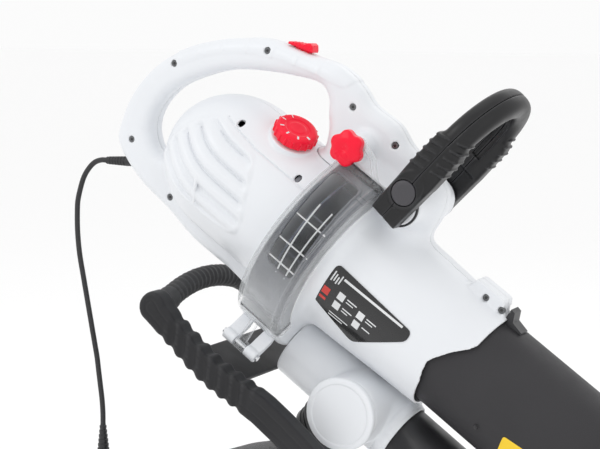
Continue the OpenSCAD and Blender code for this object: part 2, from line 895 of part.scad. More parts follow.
tube_back = suction_front - 60;
sleeve_r = tube_r + slip;
module suction_tube_upper() {
    suction_tube(tube_back, tube_joint, tube_r);
}

module suction_tube_lower() {
    color("dimgray") difference() {
        union() {
            suction_tube(tube_joint + gap, tube_tip, tube_r);
            turned() polygon([
                [sleeve_r, tube_joint - collar_len], [sleeve_r + tube_wall, tube_joint - collar_len],
                [sleeve_r + tube_wall, tube_joint + collar_len], [tube_r - 1, tube_joint + collar_len],
                [tube_r - 1, tube_joint + gap], [sleeve_r, tube_joint + gap]
            ]);
            translate([tube_joint + 60, -2, -duct_drop + blow_r + gap])
                cube([tube_len / 4, 4, duct_drop - blow_r - tube_r + 1]);
        }
        translate([tube_tip, 0, tube_r]) rotate([0, tip_cut, 0])
            translate([0, -200, -350]) cube([400, 400, 400]);
    }
}

module blow_tube(u0, u1) {
    color("black") difference() {
        bar_x(u0, u1, blow_r, -duct_drop);
        bar_x(u0 - 1, u1 + 1, blow_r - tube_wall, -duct_drop);
    }
}

module blow_tube_upper() {
    blow_tube(blow_back, tube_joint);
}

module blow_tube_lower() {
    blow_tube(tube_joint + gap, blow_tip);
    color("black") difference() {
        bar_x(tube_joint - 24, tube_joint + 24, blow_r + slip + tube_wall, -duct_drop);
        bar_x(tube_joint - 30, tube_joint + gap, blow_r + slip, -duct_drop);
        bar_x(tube_joint, tube_joint + 30, blow_r - 1, -duct_drop);
    }
}

// Tongue of the tube that snaps behind the lug
module tube_catch() {
    u = suction_front - 16 + gap;
    edge = suction_front + edge_back + gap;
    color("black") difference() {
        across(-9, 9) polygon([
            [u, mouth_r + 4], [u, mouth_r + 12], [u + 5, mouth_r + 11], [u + 9, mouth_r + 2],
            [u + 22, tube_r + 2], [u + 24, tube_r - 8], [u, tube_r - 8]
        ]);
        turned() polygon([[0, u - 20], [tube_r + gap, u - 20], [tube_r + gap, u + 40], [0, u + 40]]);
        turned() polygon([
            [0, suction_back], [suction_r + gap, suction_back], [radius_at(edge) + gap, edge], [0, edge]
        ]);
    }
}

module warning_diamond() {
    color("yellow") intersection() {
        turned(180, 180) polygon([
            [tube_r + gap, 0], [tube_r + gap + 0.5, 0], [tube_r + gap + 0.5, 900], [tube_r + gap, 900]
        ]);
        across(-100, -20) translate([suction_front + 78, -23]) rotate(53) circle(r = 22, $fn = 4);
    }
}

// Wheels under the tip of the blow tube
module wheel_bracket() {
    color("black") difference() {
        union() {
            bar_x(axle_u - 18, axle_u + 18, blow_r + slip + 3, -duct_drop);
            translate([axle_u - 12, -wheel_y + gap, axle_w - 9]) cube([24, 2 * (wheel_y - gap), 30]);
        }
        bar_x(axle_u - 20, axle_u + 20, blow_r + gap, -duct_drop);
        bar_y(-100, 100, axle_r + 0.02, axle_u, axle_w);
    }
}

module wheel_axle() {
    color("silver") bar_y(-wheel_y - wheel_t - 2, wheel_y + wheel_t + 2, axle_r, axle_u, axle_w);
}

module wheel(side) {
    y0 = side < 0 ? -wheel_y - wheel_t : wheel_y;
    color("dimgray") difference() {
        bar_y(y0, y0 + wheel_t, wheel_r, axle_u, axle_w);
        bar_y(-100, 100, axle_r + run, axle_u, axle_w);
        bar_y(y0 - 1, y0 + 4, wheel_r - 7, axle_u, axle_w);
        bar_y(y0 + wheel_t - 4, y0 + wheel_t + 1, wheel_r - 7, axle_u, axle_w);
    }
}

// Cord: a sleeve at the handle's heel, the lead and its plug, all drawn in the row frame
sleeve_neck_r = 5.5;
sleeve_len = 30;
module row_frame() {
    translate([grip_u, 0, grip_w]) rotate([0, -tilt, 0]) children();
}

// Stands at the free end of the sleeve, pointing back into the handle
module cord_exit() {
    translate(cord_route[0]) rotate([0, 90, 0]) children();
}

module cord_sleeve() {
    color("black") cord_exit() {
        cylinder(h = sleeve_len, r1 = cord_d / 2 + 1.2, r2 = sleeve_neck_r);
        translate([0, 0, sleeve_len]) cylinder(h = 8, r = sleeve_neck_r);
    }
}

module mains_cord() {
    color("black") tube_along(cord_route, cord_d / 2);
}

module tube_along(path, r) {
    n = len(path);
    m = cord_sides;
    points = [
        for (i = [0 : n - 1])
            let (along = unit(path[min(i + 1, n - 1)] - path[max(i - 1, 0)]), side = cross(along, [0, 1, 0]))
            for (k = [0 : m - 1]) path[i] + r * (cos(360 * k / m) * [0, 1, 0] + sin(360 * k / m) * side)
    ];
    sides = [
        for (i = [0 : n - 2]) for (k = [0 : m - 1])
            [i * m + k, i * m + (k + 1) % m, (i + 1) * m + (k + 1) % m, (i + 1) * m + k]
    ];
    ends = [[for (k = [m - 1 : -1 : 0]) k], [for (k = [0 : m - 1]) (n - 1) * m + k]];
    polyhedron(points, concat(ends, sides));
}

relief_len = 34;
plug_len = 36;
module plug_body() {
    color("black") translate(cord_route[len(cord_route) - 1]) mirror([0, 0, 1]) {
        cylinder(h = relief_len, r1 = 4.4, r2 = 6);
        for (i = [1 : 4]) translate([0, 0, 7 * i - 3]) cylinder(h = 3, r = 5.6 + 0.3 * i);
        translate([0, 0, relief_len]) cylinder(h = 14, r1 = 8, r2 = 17);
        translate([0, 0, relief_len + 14]) cylinder(h = plug_len - 14, r = 18);
    }
}

pin_r = 2.4;
pin_len = 19;
pin_y = 9.5;
module plug_pins() {
    color("silver") for (side = [-1, 1])
        translate(cord_route[len(cord_route) - 1] + [0, side * pin_y, -relief_len - plug_len - pin_len])
            cylinder(h = pin_len, r = pin_r);
}

attitude() handle_shell(-1);  // handle_shell_right
attitude() handle_shell(1);  // handle_shell_left
attitude() motor_cowl(-1);  // motor_cowl_right
attitude() motor_cowl(1);  // motor_cowl_left
attitude() housing_screws();
attitude() slide_switch();
attitude() switch_body();
attitude() control_board();
attitude() speed_dial();
attitude() dial_potentiometer();
attitude() field_stack();
attitude() field_coils();
attitude() armature();
attitude() commutator();
attitude() motor_shaft();
attitude() motor_bearings();
attitude() brush_holders();
attitude() carbon_brushes();
attitude() rear_bracket();
attitude() end_shield();
attitude() cooling_fan();
attitude() impeller();
attitude() impeller_nut();
attitude() volute_base();
attitude() volute_cover();
attitude() cover_hinge_pin();
attitude() star_knob();
attitude() knob_bolt();
attitude() suction_casing(-1);  // suction_casing_right
attitude() suction_casing(1);  // suction_casing_left
attitude() rating_plate();
attitude() tube_catch();
attitude() duct_half(-1);  // duct_right
attitude() duct_half(1);  // duct_left
attitude() changeover_flap();
attitude() changeover_knob();
attitude() front_handle(false);  // front_handle_rear
attitude() front_handle(true);  // front_handle_front
attitude() handle_washers();
attitude() handle_bolt();
attitude() handle_button();
attitude() carry_arm(-1);  // carry_frame_right
attitude() carry_arm(1);  // carry_frame_left
attitude() carry_grip();
attitude() frame_bracket();
attitude() bag_collar();
dust_bag();
attitude() suction_tube_upper();
attitude() suction_tube_lower();
attitude() blow_tube_upper();
attitude() blow_tube_lower();
attitude() warning_diamond();
attitude() wheel_bracket();
attitude() wheel_axle();
attitude() wheel(-1);  // wheel_right
attitude() wheel(1);  // wheel_left
cord_sleeve();
mains_cord();
plug_body();
plug_pins();
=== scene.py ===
"""Looks for the hand-held leaf blower: casings, clear fan cover, handles, tubes, bag and cord.

Shapes are worked out in the machine's own frame in millimetres (u forward along the motor, y to the
left, w up), and carried into the row frame in metres by row().
"""
import math

import bmesh
import bpy
import numpy as np
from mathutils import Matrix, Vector


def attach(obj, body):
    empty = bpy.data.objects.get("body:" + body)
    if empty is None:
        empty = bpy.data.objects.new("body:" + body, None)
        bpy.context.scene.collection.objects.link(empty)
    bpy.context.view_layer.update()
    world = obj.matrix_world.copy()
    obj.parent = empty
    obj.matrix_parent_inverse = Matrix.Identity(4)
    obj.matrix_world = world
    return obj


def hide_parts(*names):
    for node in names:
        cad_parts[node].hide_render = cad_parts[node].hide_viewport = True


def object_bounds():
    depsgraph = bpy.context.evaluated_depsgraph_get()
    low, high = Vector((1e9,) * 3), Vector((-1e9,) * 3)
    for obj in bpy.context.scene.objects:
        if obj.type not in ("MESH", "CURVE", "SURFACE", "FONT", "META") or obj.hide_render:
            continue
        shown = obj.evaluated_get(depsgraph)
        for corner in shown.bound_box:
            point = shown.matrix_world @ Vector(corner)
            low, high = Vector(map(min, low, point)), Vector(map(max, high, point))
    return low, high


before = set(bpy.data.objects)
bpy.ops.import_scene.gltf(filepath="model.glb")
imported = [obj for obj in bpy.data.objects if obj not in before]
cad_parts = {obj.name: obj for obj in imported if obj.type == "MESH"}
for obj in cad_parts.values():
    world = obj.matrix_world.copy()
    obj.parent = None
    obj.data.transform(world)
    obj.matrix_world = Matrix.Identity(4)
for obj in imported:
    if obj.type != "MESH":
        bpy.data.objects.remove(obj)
CAD_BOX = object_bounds()

TILT = math.radians(35)
GRIP_U, GRIP_W = -160.0, 98.0


# ---------------------------------------------------------------- frames
def row(p):
    """Machine frame in mm to the row frame in metres, for an array of points."""
    p = np.asarray(p, float)
    du, dw = p[..., 0] - GRIP_U, p[..., 2] - GRIP_W
    c, s = math.cos(TILT), math.sin(TILT)
    return np.stack([du * c + dw * s, p[..., 1], dw * c - du * s], -1) / 1000


# ---------------------------------------------------------------- camera, light and floor
def look_from(azimuth, elevation, target, distance):
    a, e = math.radians(azimuth), math.radians(elevation)
    back = Vector((math.sin(a) * math.cos(e), -math.cos(a) * math.cos(e), math.sin(e)))
    return Vector(target) + back * distance, (-back).to_track_quat("-Z", "Y")


def make_camera():
    cam = bpy.data.objects.new("camera", bpy.data.cameras.new("camera"))
    bpy.context.scene.collection.objects.link(cam)
    cam.data.lens, cam.data.sensor_width = 100, 36
    cam.rotation_mode = "QUATERNION"
    target = row([0, 0, -5])
    cam.location, cam.rotation_quaternion = look_from(28, 7, target, 1.75)
    bpy.context.scene.camera = cam


def make_light():
    def area(name, place, aim, size, power):
        data = bpy.data.lights.new(name, "AREA")
        data.shape, data.size, data.size_y, data.energy = "RECTANGLE", size[0], size[1], power
        lamp = bpy.data.objects.new(name, data)
        bpy.context.scene.collection.objects.link(lamp)
        lamp.location = place
        lamp.rotation_mode = "QUATERNION"
        lamp.rotation_quaternion = (Vector(aim) - Vector(place)).to_track_quat("-Z", "Y")

    area("key", (-1.3, -2.3, 1.9), (0.1, 0, -0.2), (1.4, 1.4), 12)
    area("fill", (2.5, -1.5, 0.7), (0.2, 0, -0.3), (1.8, 2.2), 3)
    area("rim", (0.5, 2.6, 1.8), (0.1, 0, -0.2), (2.4, 1.4), 7)
    area("top", (0.1, -0.2, 2.6), (0.1, 0, -0.2), (1.8, 1.8), 4)
    world = bpy.data.worlds.new("studio")
    world.use_nodes = True
    world.node_tree.nodes["Background"].inputs[0].default_value = (1, 1, 1, 1)
    world.node_tree.nodes["Background"].inputs[1].default_value = 0.97
    bpy.context.scene.world = world
    bpy.context.scene.view_settings.view_transform = "Standard"


def make_floor():
    size, level = 40, CAD_BOX[0][2] - 0.02
    mesh = bpy.data.meshes.new("floor")
    mesh.from_pydata([(-size, -size, level), (size, -size, level), (size, size, level),
                      (-size, size, level)], [], [(0, 1, 2, 3)])
    floor = bpy.data.objects.new("floor", mesh)
    bpy.context.scene.collection.objects.link(floor)
    mat = material("floor_paint", (0.99, 0.99, 0.99), 0.9, 0.0, grain_height=0.0)
    floor.data.materials.append(mat.mat)


# ---------------------------------------------------------------- materials
class Nodes:
    """A Principled material and short calls for the nodes that give it detail."""

    def __init__(self, name):
        self.mat = bpy.data.materials.new(name)
        self.mat.use_nodes = True
        self.tree = self.mat.node_tree
        self.shader = self.tree.nodes["Principled BSDF"]
        self.place = self.tree.nodes.new("ShaderNodeTexCoord").outputs["Object"]

    def new(self, kind, **facts):
        n = self.tree.nodes.new(kind)
        for k, v in facts.items():
            if k.startswith("in_"):
                key = k[3:]
                n.inputs[int(key) if key.isdigit() else key.replace("_", " ").title()].default_value = v
            else:
                setattr(n, k, v)
        return n

    def link(self, a, b):
        self.tree.links.new(a, b)

    def noise(self, scale, detail=3, rough=0.5):
        n = self.new("ShaderNodeTexNoise", in_Scale=scale, in_Detail=detail, in_Roughness=rough)
        self.link(self.place, n.inputs["Vector"])
        return n.outputs["Fac"]

    def ramp(self, value, low, high, a, b):
        n = self.new("ShaderNodeMapRange", in_1=low, in_2=high, in_3=a, in_4=b)
        self.link(value, n.inputs[0])
        return n.outputs[0]

    def mix(self, value, a, b):
        n = self.new("ShaderNodeMix", data_type="RGBA")
        self.link(value, n.inputs["Factor"])
        for key, c in (("A", a), ("B", b)):
            if hasattr(c, "links"):
                self.link(c, n.inputs[6 if key == "A" else 7])
            else:
                n.inputs[6 if key == "A" else 7].default_value = (*c[:3], 1)
        return n.outputs[2]

    def bump(self, value, distance, strength=1.0, after=None):
        n = self.new("ShaderNodeBump", in_Strength=strength, in_Distance=distance)
        self.link(value, n.inputs["Height"])
        if after is not None:
            self.link(after, n.inputs["Normal"])
        self.link(n.outputs[0], self.shader.inputs["Normal"])
        return n.outputs[0]

    def edges(self, low=0.5, high=0.58):
        """How far a point is on a worn outer edge, from 0 to 1."""
        g = self.new("ShaderNodeNewGeometry")
        return self.ramp(g.outputs["Pointiness"], low, high, 0, 1)

    def colour(self, socket):
        self.link(socket, self.shader.inputs["Base Color"])

    def rough(self, socket):
        self.link(socket, self.shader.inputs["Roughness"])


def material(name, colour, rough, variation=0.03, grain=900, grain_height=0.00003, metallic=0.0, wear=None,
             coat=0.0, specular=0.5, rough_span=0.06, big=14):
    """A moulded or metal surface: slow colour change, grain bump, rough patches and lighter worn edges."""
    m = Nodes(name)
    s = m.shader
    s.inputs["Metallic"].default_value = metallic
    s.inputs["Specular IOR Level"].default_value = specular
    s.inputs["Coat Weight"].default_value = coat
    dark = [c * (1 - variation) for c in colour]
    light = [min(1, c * (1 + variation) + variation * 0.02) for c in colour]
    shade = m.mix(m.ramp(m.noise(big, 4), 0.3, 0.7, 0, 1), dark, light)
    if wear:
        shade = m.mix(m.edges(*wear[1:]) if len(wear) > 1 else m.edges(), shade, wear[0])
    m.colour(shade)
    m.rough(m.ramp(m.noise(big * 4, 5, 0.6), 0.3, 0.7, rough - rough_span, rough + rough_span))
    m.bump(m.noise(grain, 2), grain_height, 0.6)
    return m


# ---------------------------------------------------------------- signed distance shapes
class Field:
    """A box of sample points in the machine frame, in mm, h apart."""

    def __init__(self, low, high, h):
        self.low, self.h = np.array(low, float), h
        n = [int(math.ceil((b - a) / h)) + 1 for a, b in zip(low, high)]
        ax = [np.float32(a) + np.float32(h) * np.arange(k, dtype=np.float32) for a, k in zip(low, n)]
        self.u, self.y, self.w = ax[0][:, None, None], ax[1][None, :, None], ax[2][None, None, :]
        self.shape = tuple(n)


def smin(a, b, k):
    h = np.clip(0.5 + 0.5 * (b - a) / k, 0, 1)
    return b + (a - b) * h - k * h * (1 - h)


def smax(a, b, k):
    return -smin(-a, -b, k)


def between(a, b, c, d, t):
    """The point at t from b to c on a Catmull-Rom curve."""
    return 0.5 * (2 * b + (c - a) * t + (2 * a - 5 * b + 4 * c - d) * t * t + (3 * b - a - 3 * c + d)
                  * t ** 3)


def closed_curve(p, n=6):
    """Catmull-Rom curve through a closed list of points."""
    p = np.array(p, float)
    m = len(p)
    out = []
    for i in range(m):
        a, b, c, d = p[(i - 1) % m], p[i], p[(i + 1) % m], p[(i + 2) % m]
        for k in range(n):
            out.append(between(a, b, c, d, k / n))
    return np.array(out)


def outline_distance(x, z, pts):
    """Signed distance from points (x, z) to a closed outline; negative inside."""
    pts = np.asarray(pts, np.float32)
    best = np.full(np.broadcast(x, z).shape, 1e9, np.float32)
    inside = np.zeros(best.shape, bool)
    for (ax, az), (bx, bz) in zip(pts, np.roll(pts, -1, 0)):
        ex, ez = bx - ax, bz - az
        if ex == 0 and ez == 0:
            continue
        t = np.clip(((x - ax) * ex + (z - az) * ez) / (ex * ex + ez * ez), 0, 1)
        best = np.minimum(best, (x - ax - t * ex) ** 2 + (z - az - t * ez) ** 2)
        if ez != 0:
            crosses = (az > z) != (bz > z)
            inside ^= crosses & (x < ex * (z - az) / ez + ax)
    d = np.sqrt(best)
    return np.where(inside, -d, d)


def slab(d2, y, half, r):
    """Extrudes a side-view distance across y, with edges rounded by r."""
    a, b = d2 + r, np.abs(y) - (half - r)
    return np.minimum(np.maximum(a, b), 0) + np.sqrt(np.maximum(a, 0) ** 2 + np.maximum(b, 0) ** 2) - r


def bar(f, p, q, r):
    """A round-ended bar between two points."""
    p, q = np.array(p, float), np.array(q, float)
    d = q - p
    t = ((f.u - p[0]) * d[0] + (f.y - p[1]) * d[1] + (f.w - p[2]) * d[2]) / (d @ d)
    t = np.clip(t, 0, 1)
    return np.sqrt((f.u - p[0] - t * d[0]) ** 2 + (f.y - p[1] - t * d[1]) ** 2
                   + (f.w - p[2] - t * d[2]) ** 2) - r


def pill(d_round, d_flat, r):
    """A radius distance and a length distance joined with edges rounded by r."""
    a, b = d_round + r, d_flat + r
    return np.minimum(np.maximum(a, b), 0) + np.sqrt(np.maximum(a, 0) ** 2 + np.maximum(b, 0) ** 2) - r


def surface(f, d):
    """Surface nets: vertices and quads where the field d crosses zero, pulled on to the surface."""
    d = np.ascontiguousarray(np.broadcast_to(d, f.shape), np.float32)
    s = d < 0
    nx, ny, nz = d.shape
    corner = [(i, j, k) for i in (0, 1) for j in (0, 1) for k in (0, 1)]
    count = np.zeros((nx - 1, ny - 1, nz - 1), np.int8)
    for i, j, k in corner:
        count += s[i:nx - 1 + i, j:ny - 1 + j, k:nz - 1 + k]
    cells = np.argwhere((count > 0) & (count < 8))
    index = np.full(count.shape, -1, np.int32)
    index[tuple(cells.T)] = np.arange(len(cells))
    total = np.zeros((len(cells), 3))
    hits = np.zeros(len(cells))
    vals = {c: d[cells[:, 0] + c[0], cells[:, 1] + c[1], cells[:, 2] + c[2]] for c in corner}
    for a in corner:
        for axis in range(3):
            if a[axis]:
                continue
            b = tuple(v + (n == axis) for n, v in enumerate(a))
            va, vb = vals[a], vals[b]
            cross = (va < 0) != (vb < 0)
            t = np.where(cross, va / np.where(va == vb, 1, va - vb), 0)
            p = np.tile(np.array(a, float), (len(cells), 1))
            p[:, axis] += t
            total += p * cross[:, None]
            hits += cross
    v = cells + total / hits[:, None]
    quads = []
    for axis in range(3):
        o1, o2 = (axis + 1) % 3, (axis + 2) % 3
        lo = [slice(1, -1)] * 3
        lo[axis] = slice(0, -1)
        hi = list(lo)
        hi[axis] = slice(1, None)
        a, b = s[tuple(lo)], s[tuple(hi)]
        e = np.argwhere(a != b)
        flip = a[tuple(e.T)]
        e = e + np.array([0 if n == axis else 1 for n in range(3)])
        back1, back2 = np.eye(3, dtype=int)[o1], np.eye(3, dtype=int)[o2]
        ids = [index[tuple((e - x).T)] for x in (0 * back1, back1, back1 + back2, back2)]
        q = np.stack(ids, -1)
        q = np.where(flip[:, None], q, q[:, ::-1])
        quads.append(q)
    quads = np.concatenate(quads)
    quads = quads[(quads >= 0).all(1)]
    v = settle(f, d, v)
    return f.low + v * f.h, quads


def settle(f, d, v, steps=2):
    """Moves vertices, in cell units, along the field's slope on to its zero."""
    g = np.gradient(d)
    for _ in range(steps):
        i = np.clip(np.floor(v).astype(int), 0, np.array(d.shape) - 2)
        t = v - i
        val, slope = 0, np.zeros_like(v)
        for a in (0, 1):
            for b in (0, 1):
                for c in (0, 1):
                    wt = (t[:, 0] if a else 1 - t[:, 0]) * (t[:, 1] if b else 1 - t[:, 1]) * (t[:, 2] if c
                                                                                            else 1 - t[:, 2])
                    at = (i[:, 0] + a, i[:, 1] + b, i[:, 2] + c)
                    val = val + wt * d[at]
                    slope += wt[:, None] * np.stack([g[n][at] for n in range(3)], -1)
        sq = (slope ** 2).sum(1)
        move = slope * (val / np.maximum(sq, 0.2 * f.h ** 2))[:, None]
        big = np.maximum(np.abs(move).max(1), 1e-9)
        v = v - move * np.minimum(1, 0.5 / big)[:, None]
    return v


def piece(name, v, faces, body, mat, replaces=(), slot=None, smooth=38, in_row=False):
    """Makes an object, shades it and lets it ride on its body; in_row says that v is already in metres."""
    mesh = bpy.data.meshes.new(name)
    pts = np.asarray(v, float) if in_row else row(v)
    faces = [tuple(int(i) for i in q) for q in faces]
    mesh.from_pydata([tuple(p) for p in pts], [], faces)
    mesh.validate()
    bm = bmesh.new()
    bm.from_mesh(mesh)
    loose = [x for x in bm.verts if not x.link_faces]
    bmesh.ops.delete(bm, geom=loose, context="VERTS")
    bmesh.ops.recalc_face_normals(bm, faces=bm.faces)
    bm.to_mesh(mesh)
    bm.free()
    obj = bpy.data.objects.new(name, mesh)
    bpy.context.scene.collection.objects.link(obj)
    mesh.materials.append(mat)
    if smooth:
        mesh.shade_smooth()
        mesh.set_sharp_from_angle(angle=math.radians(smooth))
    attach(obj, body)
    if replaces:
        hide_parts(*replaces)
    return obj


# ---------------------------------------------------------------- shared sizes, machine frame in mm
OUTLINE = closed_curve([
    (-226, -67), (-239, -38), (-242, -4), (-235, 31), (-219, 63), (-193, 93), (-166, 116), (-135, 136),
    (-84, 151), (-54, 160), (-24, 158), (0, 150), (32, 150), (56, 141), (84, 138), (112, 126), (119, 100),
    (122, 70), (110, 20), (60, -20), (14, -60), (8, -94), (-38, -94), (-90, -95), (-135, -88),
    (-182, -84)], 4)
HAND_GAP = closed_curve([
    (-176, -42), (-198, -28), (-205, -4), (-199, 26), (-181, 54), (-156, 81), (-124, 103), (-88, 122),
    (-62, 132), (-47, 127), (-37, 113), (-26, 97), (-24, 78), (-60, 60), (-110, 40), (-140, 0),
    (-150, -30)], 4)
MOUTH = [(239.3, 120), (239.3, 40), (236, 34), (224, 21), (214, 6), (211, -1), (212, -11), (215, -24),
         (216, -48), (218, -120), (300, -120), (300, 120)]
SCREWS = [(-213, 50), (-128, 127), (-211, -50), (-136, -72), (-15, 138), (45, 134)]
LUG_SCREWS = [(209.3, 69), (229.3, 69)]
SWIVEL = (93, 98)
DUCT_W, DRUM = -109.3, (170, -106.415)
KNOB = (20, 116.1)
COVER_LOW, COVER_HIGH = 38.0, 156.3


def cone_radius(u):
    return 74 - 10 * (u - 72.3) / 200


def cowl_distance(f):
    rho = np.sqrt(f.y ** 2 + f.w ** 2)
    back = np.maximum(-90.3 - f.u, 0)
    e = np.sqrt((back / 86) ** 2 + (rho / 76) ** 2)
    slope = np.sqrt((back / 86 ** 2) ** 2 + (rho / 76 ** 2) ** 2) / np.maximum(e, 1e-6)
    return np.where(f.u < -90.3, (e - 1) / np.maximum(slope, 1e-4), rho - 76)


def side_view(f, shape):
    """A side-view outline's distance, worked out once on the u-w plane."""
    return outline_distance(f.u[:, 0, :], f.w[:, 0, :], shape).astype(np.float32)[:, None, :]


def segment(f, a, b):
    """Distance in side view to the line from a to b."""
    ex, ez = b[0] - a[0], b[1] - a[1]
    t = np.clip(((f.u - a[0]) * ex + (f.w - a[1]) * ez) / (ex * ex + ez * ez), 0, 1)
    return np.sqrt((f.u - a[0] - t * ex) ** 2 + (f.w - a[1] - t * ez) ** 2)


GRIP_BAND = closed_curve([
    (-222, 52), (-200, 92), (-168, 125), (-132, 146), (-84, 160), (-42, 170), (-30, 160), (-38, 146),
    (-80, 137), (-128, 120), (-160, 101), (-186, 78), (-208, 50), (-216, 46)], 4)
RIDGES = [((-211, 58), (-223, 68)), ((-193, 76), (-205, 89)), ((-172, 96), (-181, 110)),
          ((-148, 112), (-154, 129)),
          ((-121, 124), (-126, 142)), ((-94, 134), (-98, 150)), ((-68, 142), (-71, 158))]


def body_distance(f, side):
    """Handle, column, neck, volute and suction casing as one smooth moulding."""
    plan = np.maximum(side_view(f, OUTLINE), -side_view(f, HAND_GAP))
    near = np.abs(f.y)
    d = slab(plan + 1.0, f.y, 18.2, 12.5)
    # raised band on top of the grip, with cross ridges
    band = side_view(f, GRIP_BAND)
    raised = smax(slab(plan, f.y, 19, 13), band, 1.2)
    for a, b in RIDGES:
        bump = np.maximum(segment(f, a, b) - 1.3, slab(plan - 0.0, f.y, 19.9, 13.5))
        raised = smin(raised, np.maximum(bump, band - 1), 1.0)
    d = smin(d, raised, 0.8)
    # column, neck and swivel boss
    boss = pill(np.sqrt((f.u - SWIVEL[0]) ** 2 + (f.w - SWIVEL[1]) ** 2) - 22, near - 45, 2.5)
    d = smin(d, boss, 20)
    rho = np.sqrt(f.y ** 2 + f.w ** 2)
    drum = pill(rho - 113, np.abs(f.u - 43) - 29, 7)
    d = smin(d, drum, 7)
    casing = np.maximum((rho - cone_radius(f.u)) * 0.998, np.maximum(60 - f.u, f.u - 300))
    d = smin(d, casing, 16)
    # lug on top of the suction casing
    lug = [(184, 54), (192, 79), (194, 80), (225, 80), (227, 79), (236.3, 62), (236.3, 50), (184, 50)]
    d = smin(d, slab(side_view(f, lug), f.y, 12, 2.2), 4)
    if side < 0:
        boss = pill(np.sqrt((f.u - KNOB[0]) ** 2 + (f.w - KNOB[1]) ** 2) - 13, near - 46, 2)
        d = smin(d, boss, 8)
    return d, rho


def body_shell(side, mat):
    h = 1.5
    f = Field((-246, -116 if side < 0 else -1, -116), (258, 1 if side < 0 else 116, 166), h)
    raw, rho = body_distance(f, side)
    cowl = cowl_distance(f)
    cowl = np.where(f.u > 14, np.maximum(cowl, f.u - 14), cowl)
    d = smin(raw, cowl, 9)
    d = np.maximum(d, (raw - cowl) * 0.7 + 0.2)
    d = np.maximum(d, -(cowl + 3))
    inside = np.maximum(rho - 110, np.abs(f.u - 43) - 26.5)
    bore = np.maximum(rho - cone_radius(f.u) + 2.8, 60 - f.u)
    d = np.maximum(d, -np.minimum(inside, bore))
    d = smax(d, -side_view(f, MOUTH), 1.2)
    if side < 0:
        phi = np.degrees(np.arctan2(-f.y, -f.w))
        window = np.maximum(np.maximum((COVER_LOW - phi), (phi - COVER_HIGH)) * math.radians(1) * 100,
                            93 - rho)
        window = np.maximum(window, np.abs(f.u - 43) - 31)
        d = np.maximum(d, -window)
        hole = np.sqrt((f.u - KNOB[0]) ** 2 + (f.w - KNOB[1]) ** 2) - 6
        d = np.maximum(d, -np.maximum(hole, f.y + 30))
    d = np.maximum(d, f.y + 0.25 if side < 0 else 0.25 - f.y)
    for spots, deep in ((SCREWS, 13.5), (LUG_SCREWS, 6.8)):
        for u, w in spots:
            hole = np.sqrt((f.u - u) ** 2 + (f.w - w) ** 2) - 3.7
            d = smax(d, -np.maximum(hole, deep - np.abs(f.y)), 0.8)
    v, q = surface(f, d)
    name, node = ("body_shell_right", "right") if side < 0 else ("body_shell_left", "left")
    gone = ["handle_shell_" + node, "suction_casing_" + node] + (["volute_base"] if side < 0 else [])
    return piece(name, v, q, "blower", mat, gone, "white_shell")


COWL_PANEL = closed_curve([
    (-158, -34), (-158, -4), (-146, 26), (-126, 50), (-106, 53), (-84, 50), (-60, 47), (-48, 34),
    (-38, 16), (-31, 0), (-26, -16), (-30, -34), (-60, -42), (-120, -42)], 4)


def motor_cowl(side, mat):
    h = 1.1
    f = Field((-180, -82 if side < 0 else -1, -82), (16, 1 if side < 0 else 82, 82), h)
    raw, _ = body_distance(f, side)
    plain = cowl_distance(f)
    cowl = plain
    panel = side_view(f, COWL_PANEL)
    rise = np.clip(-panel / 5, 0, 1)
    rise = rise * rise * (3 - 2 * rise)
    level = f.w - 0.42 * 11 * np.logaddexp(0, (-103 - f.u) / 11)
    wave = (0.5 + 0.5 * np.cos(2 * math.pi * (level - 38) / 18.7)) ** 1.6
    inner = np.clip((-panel - 4) / 5, 0, 1)
    cowl = cowl - 0.6 * rise + 3.4 * rise * wave * inner - 1.2 * rise * (1 - wave)
    d = smin(raw, cowl, 9)
    d = np.maximum(d, (cowl - raw) * 0.7 + 0.2)
    d = smax(d, f.u - 13.4, 1.0)
    # the line between the top and the side panel, then the flat seat of the dial
    line = np.minimum(segment(f, (-113, 55), (-65, 50)), segment(f, (-65, 50), (14, 49.5)))
    d = smax(d, -np.maximum(line - 0.7, -(plain + 1.4)), 0.5)
    a = math.radians(18)
    if side < 0:
        along = -f.y * math.sin(a) + f.w * math.cos(a)
        across = np.sqrt((f.u + 49) ** 2 + (f.y * math.cos(a) + f.w * math.sin(a)) ** 2)
        d = smin(d, pill(across - 25, np.abs(along - 67.5) - 10, 1), 3)
        d = smin(d, np.maximum(bar(f, (-95, -76, -10), (-87, -71, -34), 2.0), plain - 2.4), 1.5)
        for p, away in (((-97, 58), 49), ((-10, 53.5), 53)):
            hole = np.sqrt((f.u - p[0]) ** 2 + (f.w - p[1]) ** 2) - 3.4
            d = smax(d, -np.maximum(hole, away - 7 + f.y), 0.6)
            d = smax(d, -np.maximum(hole, away - 7 - np.abs(f.y)), 0.6)
    # the wall is thicker inwards behind the grooves
    d = np.maximum(d, -(plain + 3.4 + 3.2 * rise))
    for k in range(3):
        slot = np.abs(level - 38 + 18.7 * k) - 1.1
        slot = np.maximum(slot, panel + 11)
        d = smax(d, -np.maximum(slot, np.maximum(-4.4 - plain, 30 - np.abs(f.y))), 0.8)
    d = np.maximum(d, f.y + 0.25 if side < 0 else 0.25 - f.y)
    v, q = surface(f, d)
    node = "motor_cowl_right" if side < 0 else "motor_cowl_left"
    return piece(node + "_cover", v, q, "blower", mat, [node], "white_shell")


